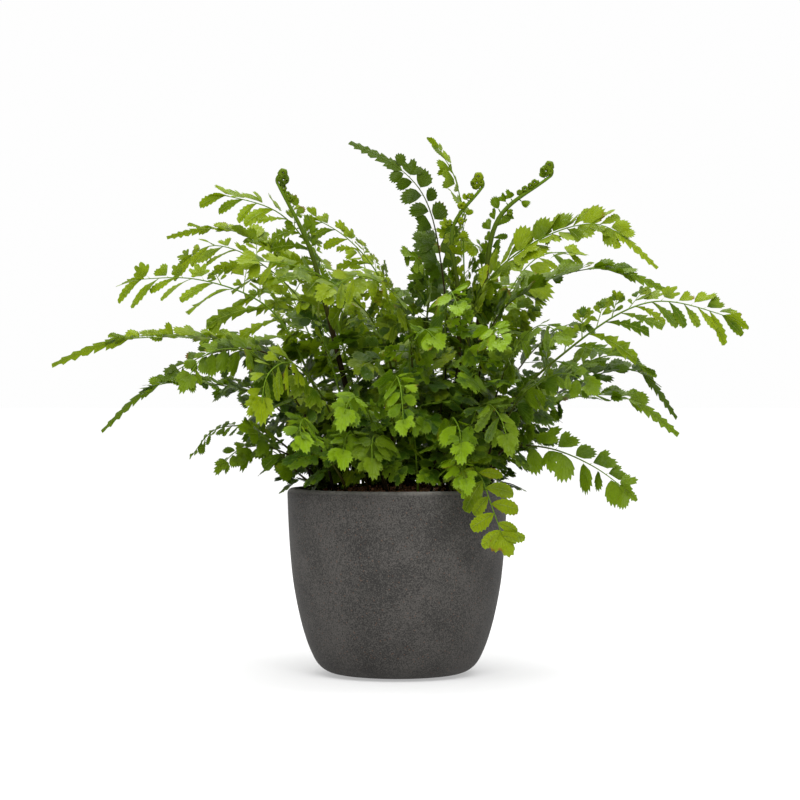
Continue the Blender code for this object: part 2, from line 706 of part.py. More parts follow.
    def grow_tip(self):
        """The leaflet that ends the stem, out to the tip of the route."""
        ring = self.add_ring(self.blade_end() + TIP_NECK)
        self.join(self.last_ring, ring)
        centre, _ = place_on(self.line, self.reached, self.blade_end() + TIP_NECK)
        frame = self.frame(self.blade_end())
        along = (self.line[-1] - centre).normalized()
        across = (frame[0] - along * frame[0].dot(along)).normalized()
        outline = leaflet_outline((self.line[-1] - centre).length, False)
        axes = (along, across, across.cross(along))
        upper, lower = blade_points(centre, axes, outline, TIP_CUPPING, BLADE_THICKNESS)
        first = len(self.points)
        self.points.extend(upper + lower)
        count = len(outline)
        self.faces.extend(
            blade_faces(
                (ring[0], ring[1]),
                (ring[2], ring[2]),
                list(range(first, first + count)),
                list(range(first + count, first + 2 * count)),
                split(outline, (0.0, -TIP_RADIUS), (0.0, TIP_RADIUS)),
            )
        )

    def grow_coil(self):
        """The rolled tip of a crozier, wound in the plane that faces the front."""
        centre, ahead = place_on(self.line, self.reached, self.length())
        frame = self.frame(self.length())
        inward = coil_inward(self.frond, ahead)
        steps = round(COIL_TURNS * COIL_STEPS_A_TURN)
        for step in range(steps + 1):
            share = step / steps
            rolled = Matrix.Rotation(2 * math.pi * COIL_TURNS * share, 3, ahead.cross(inward))
            reach = COIL_RADIUS + (COIL_END_RADIUS - COIL_RADIUS) * share
            middle = centre + inward * COIL_RADIUS - rolled @ inward * reach
            corners = section(middle, [rolled @ axis for axis in frame], COIL_STEM * (1.0 - COIL_TAPER * share))
            ring = self.add_corners(corners)
            self.join(self.last_ring, ring)
            self.last_ring = ring
        self.faces.append(self.last_ring)

    def finish(self, materials, plant):
        """The frond's object, with its origin at the foot of its stem, held by the plant."""
        origin = (*self.frond.root, SOIL_EDGE)
        solid = add_solid(f"frond_{self.frond.name}", self.points, self.faces, materials[self.frond.tint], origin)
        solid.parent = plant
        solid.location -= plant.location


def coil_inward(frond, ahead):
    """From the stem's end to the coil's middle: clockwise on the left side, the other way on the right."""
    front = Vector((0.0, -1.0, 0.0))
    inward = ahead.cross(front) if frond.tip[0] < 0 else front.cross(ahead)
    return inward.normalized()


def make_fronds(fronds, pot, soil):
    materials = {tint: make_material(f"fern_{tint}", colour, 0.5) for tint, colour in TINTS.items()}
    growers = [Grower(number, frond) for number, frond in enumerate(fronds)]
    for grower in growers:
        grower.grow_stem()
        if grower.rolled():
            grower.grow_coil()
        else:
            grower.grow_tip()
    stems = [grower.stem_tree() for grower in growers]
    blades = [solid_tree(pot), solid_tree(soil)]
    for number, grower in enumerate(growers):
        others = stems[:number] + stems[number + 1 :]
        blades.extend(grower.grow_leaflets(others + blades))
    plant = bpy.data.objects.new("plant", None)
    plant.location = (0.0, 0.0, SOIL_EDGE * MM)
    bpy.context.scene.collection.objects.link(plant)
    for grower in growers:
        grower.finish(materials, plant)


def solid_tree(solid):
    """The surface of a finished solid in millimetres, as it stands before any cut."""
    points = [vertex.co / MM for vertex in solid.data.vertices]
    return BVHTree.FromPolygons(points, [tuple(face.vertices) for face in solid.data.polygons])


def main():
    clear_scene()
    fronds = [Frond(*row) for row in FRONDS]
    pot = make_pot()
    soil = make_soil(fronds)
    make_fronds(fronds, pot, soil)


main()
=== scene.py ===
import math
import random
from collections import namedtuple

import bpy
from mathutils import Matrix, Vector, noise


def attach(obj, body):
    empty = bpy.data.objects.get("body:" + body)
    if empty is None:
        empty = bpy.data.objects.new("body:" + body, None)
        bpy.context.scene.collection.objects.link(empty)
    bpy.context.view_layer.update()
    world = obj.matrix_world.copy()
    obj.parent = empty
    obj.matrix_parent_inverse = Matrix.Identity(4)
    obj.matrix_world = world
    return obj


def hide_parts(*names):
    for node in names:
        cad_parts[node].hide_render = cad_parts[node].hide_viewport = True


# Potted mother fern: a cement pot, its soil and one piece for each frond.
# Lengths are in millimetres until a mesh is made.
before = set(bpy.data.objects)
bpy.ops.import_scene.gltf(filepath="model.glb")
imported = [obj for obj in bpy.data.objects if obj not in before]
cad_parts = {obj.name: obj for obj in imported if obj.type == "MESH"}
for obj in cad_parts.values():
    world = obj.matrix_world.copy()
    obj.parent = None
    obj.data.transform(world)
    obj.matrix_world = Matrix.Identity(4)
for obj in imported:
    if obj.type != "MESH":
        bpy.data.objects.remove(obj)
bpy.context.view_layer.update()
print("frame: loaded", len(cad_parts), "nodes")

mm = 0.001
up = Vector((0.0, 0.0, 1.0))
plain = (0.0, 0.0, 0.0)
white = (1.0, 1.0, 1.0, 1.0)
anyAngle = (0, 6.3)  # once round, in radians
stemPart = 1  # the second of a frond's two materials


def between(ends, share):
    return ends[0] + (ends[1] - ends[0]) * share


def rotated(vector, angle, axis):
    return Matrix.Rotation(angle, 3, axis) @ vector


def squared(vector, axis):
    # The direction of what stands square to the axis in a vector
    return (vector - axis * vector.dot(axis)).normalized()


def around(count):
    # The angles of the corners of a ring
    return [2 * math.pi * corner / count for corner in range(count)]


# Colours and nodes

def linear(hexColour):
    # An sRGB hex colour as linear red, green, blue and alpha
    parts = [int(hexColour[place:place + 2], 16) / 255 for place in (1, 3, 5)]
    return (*[part / 12.92 if part <= 0.04045 else ((part + 0.055) / 1.055) ** 2.4 for part in parts], 1.0)


# The output that carries a node's result, for the nodes where it isn't the first
resultSockets = {
    "ShaderNodeTexCoord": "Object",
    "ShaderNodeAttribute": "Vector",
    "ShaderNodeVectorMath": "Value",
    "ShaderNodeMix": 2,
}


def feed(tree, node, inputs):
    # Fills a node's inputs, by place or by name, with a value, a socket, or a node's result
    for socket, value in inputs.items() if isinstance(inputs, dict) else enumerate(inputs):
        if isinstance(value, bpy.types.Node):
            value = value.outputs[resultSockets.get(value.bl_idname, 0)]
        if isinstance(value, bpy.types.NodeSocket):
            tree.links.new(value, node.inputs[socket])
        else:
            node.inputs[socket].default_value = value


def addNode(tree, kind, inputs, **settings):
    node = tree.nodes.new("ShaderNode" + kind)
    for name, value in settings.items():
        if name == "stops":
            elements = node.color_ramp.elements
            for index, (place, colour) in enumerate(value):
                element = elements[index] if index < 2 else elements.new(place)
                element.position = place
                element.color = linear(colour)
        else:
            setattr(node, name, value)
    feed(tree, node, inputs)
    return node


def startMaterial(name):
    material = bpy.data.materials.new(name)
    material.use_nodes = True
    tree = material.node_tree
    return material, tree, tree.nodes["Principled BSDF"], addNode(tree, "TexCoord", [])


# Cast cement: matte and open-pored, so it scatters light softly and shows cloudy patches and grains of sand
# and rust. A paler painted highlight runs along the rim's crest, mottled like wear, and painted shade darkens
# it towards the base
cementLook = {
    "shades": ((0.70, "#1C1A18"), (0.83, "#32302D"), (0.96, "#45423F")),  # dark to pale by the mixed grain
    # Hues of the painted shade towards the base and of the painted highlight along the rim
    "paintedBaseShade": "#1C1A18",
    "rimHighlightHue": "#77746F",
    # Size, detail, roughness and share of each part of the mixed grain
    "grain": {
        "cloud": (26.0, 3.0, 0.50, 0.36),
        "mottle": (2.2, 5.0, 0.62, 0.50),
        "fine": (0.72, 2.0, 0.50, 0.80),
    },
    # Colour, spacing, radius and faded radius as shares of the spacing, and strength: sand, then rust
    "spots": (
        ("#5E5A55", 1.7, 0.085, 0.1445, 0.75),
        ("#5A4132", 2.9, 0.085, 0.187, 0.55),
    ),
    # Where the painted rim highlight runs and its strength, then how high the painted shade at the base
    # reaches and its strength
    "rimFrom": 107.6,
    "rimTo": 109.9,
    "rimShare": 1.3,
    "paintedShadeTo": 75.0,
    "paintedShadeShare": 0.18,
    "roughness": (0.72, 0.92),
    "relief": 0.30,
    "depth": 0.3,
    "ior": 1.45,
}


def makeCement():
    look = cementLook
    material, tree, shader, place = startMaterial("castCement")
    grain = {}
    mixed = 0.0
    for part, (size, detail, roughness, share) in look["grain"].items():
        grain[part] = addNode(tree, "TexNoise", {"Vector": place, "Scale": 1 / (size * mm), "Detail": detail,
                                                 "Roughness": roughness})
        mixed = addNode(tree, "Math", [grain[part], share, mixed], operation="MULTIPLY_ADD")
    colour = addNode(tree, "ValToRGB", [mixed], stops=look["shades"])
    for hue, spacing, radius, faded, strength in look["spots"]:
        cells = addNode(tree, "TexVoronoi", {"Vector": place, "Scale": 1 / (spacing * mm)})
        spot = addNode(tree, "MapRange", [cells, radius, faded, strength, 0.0])
        colour = addNode(tree, "Mix", {0: spot, 6: colour, 7: linear(hue)}, data_type="RGBA")
    height = addNode(tree, "SeparateXYZ", [place]).outputs["Z"]
    # Painted highlight: a paler band along the rim's crest, broken up by the mottle
    rim = addNode(tree, "MapRange", [height, look["rimFrom"] * mm, look["rimTo"] * mm, 0.0, look["rimShare"]])
    paintedRimHighlight = addNode(tree, "Math", [rim, grain["mottle"]], operation="MULTIPLY")
    # Painted shade: darker towards the base
    paintedBaseShade = addNode(tree, "MapRange", [height, 0.0, look["paintedShadeTo"] * mm, look["paintedShadeShare"], 0.0],
                   interpolation_type="SMOOTHSTEP")
    for share, hue in ((paintedBaseShade, look["paintedBaseShade"]), (paintedRimHighlight, look["rimHighlightHue"])):
        colour = addNode(tree, "Mix", {0: share, 6: colour, 7: linear(hue)}, data_type="RGBA")
    rough = addNode(tree, "MapRange", [grain["mottle"], 0.3, 0.7, *look["roughness"]])
    relief = addNode(tree, "Bump", {"Strength": look["relief"], "Distance": look["depth"] * mm,
                                    "Height": mixed})
    feed(tree, shader, {"Base Color": colour, "Roughness": rough, "Normal": relief, "IOR": look["ior"]})
    return material


# Potting soil: composted bark and peat, dull and broken, each crumb with its own shade
soilLook = {
    "shades": ((0.0, "#5A3E2B"), (0.55, "#B07A54"), (0.84, "#D0946A"), (0.97, "#E2D0BC")),  # peat to bark
    "wet": "#5A3E2B",
    "dryShare": 0.8,
    "fibreSize": 1.3,
    "relief": 0.7,
    "depth": 0.5,
    "roughness": 0.95,
    "specular": 0.25,
}


def makePeat():
    look = soilLook
    material, tree, shader, place = startMaterial("pottingSoilPeatAndBark")
    blade = addNode(tree, "Attribute", [], attribute_name="blade")
    own = addNode(tree, "SeparateXYZ", [blade]).outputs["Z"]
    crumb = addNode(tree, "ValToRGB", [own], stops=look["shades"])
    fibre = addNode(tree, "TexNoise", {"Vector": place, "Scale": 1 / (look["fibreSize"] * mm), "Detail": 4.0})
    dry = addNode(tree, "MapRange", [fibre, 0.35, 0.65, 0.0, look["dryShare"]])
    colour = addNode(tree, "Mix", {0: dry, 6: linear(look["wet"]), 7: crumb}, data_type="RGBA")
    relief = addNode(tree, "Bump", {"Strength": look["relief"], "Distance": look["depth"] * mm,
                                    "Height": fibre})
    feed(tree, shader, {"Base Color": colour, "Normal": relief, "Roughness": look["roughness"],
                        "Specular IOR Level": look["specular"]})
    return material


# Fern leaf: a thin satin blade with a waxy skin. Its veins run to the teeth, the margin is paler, old
# margins brown, and light from behind comes through yellow-green
# Painted shade: each leaf is darker towards its middle, and leaves are darker towards the frond's foot and on
# the side sprays, partly for age and partly for the shade inside the foliage
leafLook = {
    "roughness": (0.31, 0.50),
    "specular": 0.12,
    "ior": 1.42,
    # Size and detail of the patches of colour, of the puffed skin between veins, and of its fine cells
    "patch": (9.0, 2.0),
    "puff": (3.4, 1.0),
    "cell": (0.8, 1.0),
    # From deep to body colour: the start, then the shares of patches, of the leaf's own shade, of the way to
    # the leaf's edge (painted shade, darker at each leaf's middle), of the way to the frond's tip (darker
    # near the foot: partly older leaves, partly painted shade of the inner foliage), and of the frond's own
    # shade
    "shadeStart": -1.03,
    "shadeShares": (1.15, 0.95, 0.35, 0.50, 0.35),
    "ribWidth": 0.10,
    "ribShare": 0.75,
    "veinWidth": 0.11,
    "veinShares": (0.70, 0.25),  # near the midrib and near the edge
    "marginFrom": 0.88,
    "marginShare": 0.5,
    "brown": "#6B4018",
    "brownShare": 0.85,
    "brownFrom": ((0.86, 0.93), (0.50, 0.60), (0.80, 0.95)),  # by leaf, by patch, and to the edge
    "puffHeight": 2.4,
    "cellHeight": 0.25,
    "relief": 0.95,
    "depth": 0.45,
    "throughShare": 0.26,
    "throughTint": 0.6,
    "tints": {
        "young": {"slot": "fern_young", "deep": "#334D03", "body": "#6B7E02", "vein": "#87993A",
                  "margin": "#7E9230", "through": "#789406"},
        "light": {"slot": "fern_light", "deep": "#2F4705", "body": "#6F8006", "vein": "#7E8E38",
                  "margin": "#75862C", "through": "#729206"},
        "fresh": {"slot": "fern_light", "deep": "#2A4606", "body": "#6C8808", "vein": "#7B9040",
                  "margin": "#728A32", "through": "#6C9006"},
        "mid": {"slot": "fern_mid", "deep": "#203605", "body": "#576C07", "vein": "#6A7A32",
                "margin": "#667928", "through": "#5A7C05"},
        "dark": {"slot": "fern_dark", "deep": "#112103", "body": "#3C4D07", "vein": "#4C5F1D",
                 "margin": "#516322", "through": "#416404"},
    },
}


def makeLeaf(tint):
    look = leafLook
    hues = look["tints"][tint]
    material, tree, shader, place = startMaterial("fernLeaf" + tint.capitalize())
    blade, grown = [addNode(tree, "SeparateXYZ", [addNode(tree, "Attribute", [], attribute_name=title)])
                    for title in ("blade", "growth")]
    edge, along, leaf = blade.outputs
    tip, _, frond = grown.outputs
    patch, puff, cells = [
        addNode(tree, "TexNoise", {"Vector": place, "Scale": 1 / (size * mm), "Detail": detail})
        for size, detail in (look["patch"], look["puff"], look["cell"])
    ]
    # Painted shade: darker at the middle of each leaf and towards the frond's foot, the latter partly for
    # older leaves
    shade = look["shadeStart"]
    for source, share in zip((patch, leaf, edge, tip, frond), look["shadeShares"]):
        shade = addNode(tree, "Math", [source, share, shade], operation="MULTIPLY_ADD")
    colour = addNode(tree, "Mix", {0: shade, 6: linear(hues["deep"]), 7: linear(hues["body"])},
                     data_type="RGBA")
    # A midrib, and a vein to each tooth that fades towards the edge
    fromVein = addNode(tree, "Math", [along, 0.5], operation="PINGPONG")
    vein = addNode(tree, "MapRange", [fromVein, 0.5 - look["veinWidth"], 0.5, 0.0, 1.0])
    fade = addNode(tree, "MapRange", [edge, 0.1, 0.95, *look["veinShares"]])
    faded = addNode(tree, "Math", [vein, fade], operation="MULTIPLY")
    rib = addNode(tree, "MapRange", [edge, 0.0, look["ribWidth"], look["ribShare"], 0.0])
    ribbed = addNode(tree, "Math", [faded, rib], operation="MAXIMUM")
    margin = addNode(tree, "MapRange", [edge, look["marginFrom"], 1.0, 0.0, look["marginShare"]])
    # Browned margins on a few of the older leaves
    brown = look["brownShare"]
    for source, (low, high) in zip((leaf, patch, edge), look["brownFrom"]):
        past = addNode(tree, "MapRange", [source, low, high, 0.0, 1.0])
        brown = addNode(tree, "Math", [past, brown], operation="MULTIPLY")
    for share, hue in ((ribbed, hues["vein"]), (margin, hues["margin"]), (brown, look["brown"])):
        colour = addNode(tree, "Mix", {0: share, 6: colour, 7: linear(hue)}, data_type="RGBA")
    rough = addNode(tree, "MapRange", [patch, 0.3, 0.7, *look["roughness"]])
    height = ribbed
    for source, share in ((cells, look["cellHeight"]), (puff, look["puffHeight"])):
        height = addNode(tree, "Math", [source, share, height], operation="MULTIPLY_ADD")
    relief = addNode(tree, "Bump", {"Strength": look["relief"], "Distance": look["depth"] * mm,
                                    "Height": height})
    feed(tree, shader, {"Base Color": colour, "Roughness": rough, "Normal": relief, "IOR": look["ior"],
                        "Specular IOR Level": look["specular"]})
    lit = addNode(tree, "Mix", {0: look["throughTint"], 6: colour, 7: linear(hues["through"])},
                  data_type="RGBA")
    through = addNode(tree, "BsdfTranslucent", {"Color": lit, "Normal": relief})
    both = addNode(tree, "MixShader", [look["throughShare"], shader, through])
    feed(tree, tree.nodes["Material Output"], {"Surface": both})
    return material


# Fern stem: wiry and finely ridged, near black at the foot and green where the leaflets stand
stemLook = {
    "shades": ((0.0, "#140F08"), (0.34, "#2A210B"), (0.60, "#37430D"), (1.0, "#516A13")),  # foot to tip
    "turns": (-0.35, 0.45),  # how far before and past its turning point a stem changes colour
    "ridgeSize": 1.1,
    "ridgeStretch": 0.12,
    "ridgeShare": 0.16,
    "relief": 0.4,
    "depth": 0.2,
    "roughness": 0.48,
    "specular": 0.06,
    "ior": 1.45,
}


def makeStem():
    look = stemLook
    material, tree, shader, place = startMaterial("fernStemWiry")
    grown = addNode(tree, "SeparateXYZ", [addNode(tree, "Attribute", [], attribute_name="growth")])
    height, turning, _ = grown.outputs
    long = addNode(tree, "Mapping", {"Vector": place, "Scale": (1.0, 1.0, look["ridgeStretch"])})
    ridges = addNode(tree, "TexNoise", {"Vector": long, "Scale": 1 / (look["ridgeSize"] * mm), "Detail": 3.0})
    # Green wins past the height at which this frond's stem stops being dark
    past = addNode(tree, "Math", [height, turning], operation="SUBTRACT")
    past = addNode(tree, "Math", [ridges, look["ridgeShare"], past], operation="MULTIPLY_ADD")
    ramp = addNode(tree, "MapRange", [past, *look["turns"], 0.0, 1.0])
    colour = addNode(tree, "ValToRGB", [ramp], stops=look["shades"])
    relief = addNode(tree, "Bump", {"Strength": look["relief"], "Distance": look["depth"] * mm,
                                    "Height": ridges})
    feed(tree, shader, {"Base Color": colour, "Normal": relief, "Roughness": look["roughness"],
                        "Specular IOR Level": look["specular"], "IOR": look["ior"]})
    return material


cement = makeCement()
peat = makePeat()
stemSkin = makeStem()
leafSkins = {tint: makeLeaf(tint) for tint in leafLook["tints"]}
print("materials: cement, peat and bark, stem,", len(leafSkins), "leaves")


# Meshes

class Shape:
    # Gathers one piece's points and faces, with what its materials read at each point:
    # blade = from the leaf's middle to its edge, along its veins, its own shade
    # growth = from the frond's foot to its tip, where its stem turns green, the frond's own shade
    def __init__(self):
        self.points = []
        self.blade = []
        self.growth = []
        self.faces = []
        self.skins = []

    def addPoint(self, point, blade=plain, growth=plain):
        self.points.append(point)
        self.blade.append(blade)
        self.growth.append(growth)
        return len(self.points) - 1

    def addFace(self, corners, turned=False, skin=0):
        self.faces.append(tuple(reversed(corners)) if turned else tuple(corners))
        self.skins.append(skin)

    def joinRings(self, rings, skin=0):
        for low, high in zip(rings, rings[1:]):
            for corner in range(len(low)):
                beside = (corner + 1) % len(low)
                self.addFace((low[corner], low[beside], high[beside], high[corner]), skin=skin)

    def joinRows(self, rows, turned=False):
        for low, high in zip(rows, rows[1:]):
            for place in range(len(low) - 1):
                self.addFace((low[place], high[place], high[place + 1], low[place + 1]), turned)


def addObject(name, data):
    added = bpy.data.objects.new(name, data)
    bpy.context.scene.collection.objects.link(added)
    return added


def makePiece(name, shape, materials, node):
    mesh = bpy.data.meshes.new(name)
    mesh.from_pydata([tuple(point * mm) for point in shape.points], [], shape.faces)
    for title, values in (("blade", shape.blade), ("growth", shape.growth)):
        attribute = mesh.attributes.new(title, "FLOAT_VECTOR", "POINT")
        attribute.data.foreach_set("vector", [number for value in values for number in value])
    for material in materials:
        mesh.materials.append(material)
    mesh.polygons.foreach_set("material_index", shape.skins)
    mesh.shade_smooth()
    mesh.update()
    piece = addObject(name, mesh)
    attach(piece, "root")
    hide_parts(node)


def through(points, steps):
    # A smooth line through the points
    ends = [points[0] * 2 - points[1], *points, points[-1] * 2 - points[-2]]
    line = []
    for before, start, end, after in zip(ends, ends[1:], ends[2:], ends[3:]):
        span = (end - start).length
        leave = ((start - before) / (start - before).length + (end - start) / span) * span / 2
        arrive = ((end - start) / span + (after - end) / (after - end).length) * span / 2
        for step in range(steps):
            t = step / steps
            line.append(start * (2 * t**3 - 3 * t**2 + 1) + leave * (t**3 - 2 * t**2 + t)
                        + end * (3 * t**2 - 2 * t**3) + arrive * (t**3 - t**2))
    line.append(points[-1])
    return line


# Pot: turned on the same wall as the frame's, with a finer round lip
potSpec = {
    "outside": ((30.0, 0.0), (41.0, 1.9), (46.6, 5.9), (51.4, 14.5), (55.6, 26.5), (58.8, 39.5), (61.5, 54.5),
                (63.3, 72.0), (64.4, 90.0), (65.0, 105.6)),
    "rimHeight": 110.0,
    "lipRadius": 3.0,
    "wall": 5.8,
    "floor": 7.0,
    "insideHeights": (80.0, 30.0, 12.0),
    "insideCorner": 6.0,
    "sides": 144,
    "wallSteps": 6,
    "lipSteps": 12,
}
outside = [Vector((radius, 0.0, height)) for radius, height in potSpec["outside"]]
potWall = [(point.x, point.z) for point in through(outside, potSpec["wallSteps"])]


def outerRadius(height):
    for (r0, z0), (r1, z1) in zip(potWall, potWall[1:]):
        if height <= z1:
            return r0 + (r1 - r0) * max(0.0, height - z0) / (z1 - z0)
    return potWall[-1][0]


def innerRadius(height):
    return outerRadius(height) - potSpec["wall"]


def addRing(shape, radius, height, sides, blade=plain):
    return [shape.addPoint(Vector((radius * math.cos(angle), radius * math.sin(angle), height)), blade)
            for angle in around(sides)]


def makePot():
    spec = potSpec
    middle = potWall[-1][0] - spec["wall"] / 2
    lip = []
    for step in range(spec["lipSteps"] + 1):
        angle = math.pi * step / spec["lipSteps"]
        lip.append((middle + spec["wall"] / 2 * math.cos(angle),
                    spec["rimHeight"] - spec["lipRadius"] * (1 - math.sin(angle))))
    inside = [(innerRadius(height), height) for height in spec["insideHeights"]]
    floor = [(inside[-1][0] - spec["insideCorner"], spec["floor"])]
    shape = Shape()
    profile = potWall + lip + inside + floor
    rings = [addRing(shape, radius, height, spec["sides"]) for radius, height in profile]
    shape.joinRings(rings)
    shape.addFace(rings[0][::-1])
    shape.addFace(rings[-1])
    makePiece("cementPot", shape, [cement], "pot")


makePot()
print("pot: done")


# Soil: a low mound of crumbs under the rim
soilSpec = {
    "edge": 103.0,
    "rise": 8.5,
    "lump": 0.9,
    "wideWave": 21.0,
    "fineWave": 12.5,
    "gap": 0.3,
    "rings": 64,
    "sides": 180,
    "clodSize": 7.0,
    "clodHeight": 1.1,
    "crumbSize": 2.2,
    "crumbHeight": 0.7,
    "shade": 0.35,
    "shadeSpread": 0.5,
    "deepShade": 0.2,
    "crumbs": 1500,
    "crumbInset": 1.5,
    "crumbRadius": (0.35, 1.7),
    "crumbShrink": (0.6, 1.0),
    "crumbLift": 0.2,
    "crumbStretch": (1.0, 1.0, 1.6, 2.4),
    "crumbCorner": (0.6, 1.2),
    "seed": 7,
}


def soilHeight(x, y):
    spec = soilSpec
    reach = min(1.0, math.hypot(x, y) / potSpec["outside"][-1][0])
    wide = math.sin(2 * math.pi * x / spec["wideWave"] + 1.0) * math.cos(2 * math.pi * y / spec["wideWave"])
    fine = math.sin(2 * math.pi * (x - y) / spec["fineWave"])
    return spec["edge"] + spec["rise"] * (1 - reach * reach) + spec["lump"] * (wide + fine / 2) * (1 - reach)


def lumps(x, y, level, size):
    return noise.noise(Vector((x, y, level)) / size)


def crumbHeight(x, y):
    spec = soilSpec
    clod = lumps(x, y, 3.0, spec["clodSize"]) * spec["clodHeight"]
    crumb = lumps(x, y, 8.0, spec["crumbSize"]) * spec["crumbHeight"]
    return soilHeight(x, y) + clod + crumb


def addCrumb(shape, centre, size, draw):
    # A broken lump: a stretched octahedron with each corner pushed in or out
    spec = soilSpec
    angle = draw.uniform(*anyAngle)
    spin = Matrix.Rotation(angle, 3, Vector((draw.random(), draw.random(), 1.0)).normalized())
    stretch = draw.choice(spec["crumbStretch"])
    blade = (0.0, 0.0, draw.random())
    corners = []
    for axis in ((1, 0, 0), (0, 1, 0), (-1, 0, 0), (0, -1, 0), (0, 0, 1), (0, 0, -1)):
        point = Vector(axis) * size * draw.uniform(*spec["crumbCorner"])
        point.x *= stretch
        corners.append(shape.addPoint(centre + spin @ point, blade))
    for side in range(4):
        beside = (side + 1) % 4
        shape.addFace((corners[side], corners[beside], corners[4]))
        shape.addFace((corners[beside], corners[side], corners[5]))


def makeSoil():
    spec = soilSpec
    draw = random.Random(spec["seed"])
    shape = Shape()
    edge = innerRadius(spec["edge"]) - spec["gap"]
    rings = []
    for ring in range(1, spec["rings"] + 1):
        radius = edge * ring / spec["rings"]
        corners = []
        for angle in around(spec["sides"]):
            x = radius * math.cos(angle)
            y = radius * math.sin(angle)
            shade = spec["shade"] + spec["shadeSpread"] * lumps(x, y, 20.0, spec["crumbSize"])
            corners.append(shape.addPoint(Vector((x, y, crumbHeight(x, y))), (0.0, 0.0, shade)))
        rings.append(corners)
    for height in potSpec["insideHeights"]:
        radius = innerRadius(height) - spec["gap"]
        rings.append(addRing(shape, radius, height, spec["sides"], (0.0, 0.0, spec["deepShade"])))
    shape.joinRows([ring + ring[:1] for ring in rings])
    shape.addFace(rings[0])
    shape.addFace(rings[-1][::-1])
    for _ in range(spec["crumbs"]):
        radius = (edge - spec["crumbInset"]) * math.sqrt(draw.random())
        angle = draw.uniform(0, 2 * math.pi)
        size = draw.uniform(*spec["crumbRadius"]) * draw.uniform(*spec["crumbShrink"])
        x = radius * math.cos(angle)
        y = radius * math.sin(angle)
        addCrumb(shape, Vector((x, y, crumbHeight(x, y) + size * spec["crumbLift"])), size, draw)
    makePiece("pottingSoil", shape, [peat], "soil")


makeSoil()
print("soil: done")


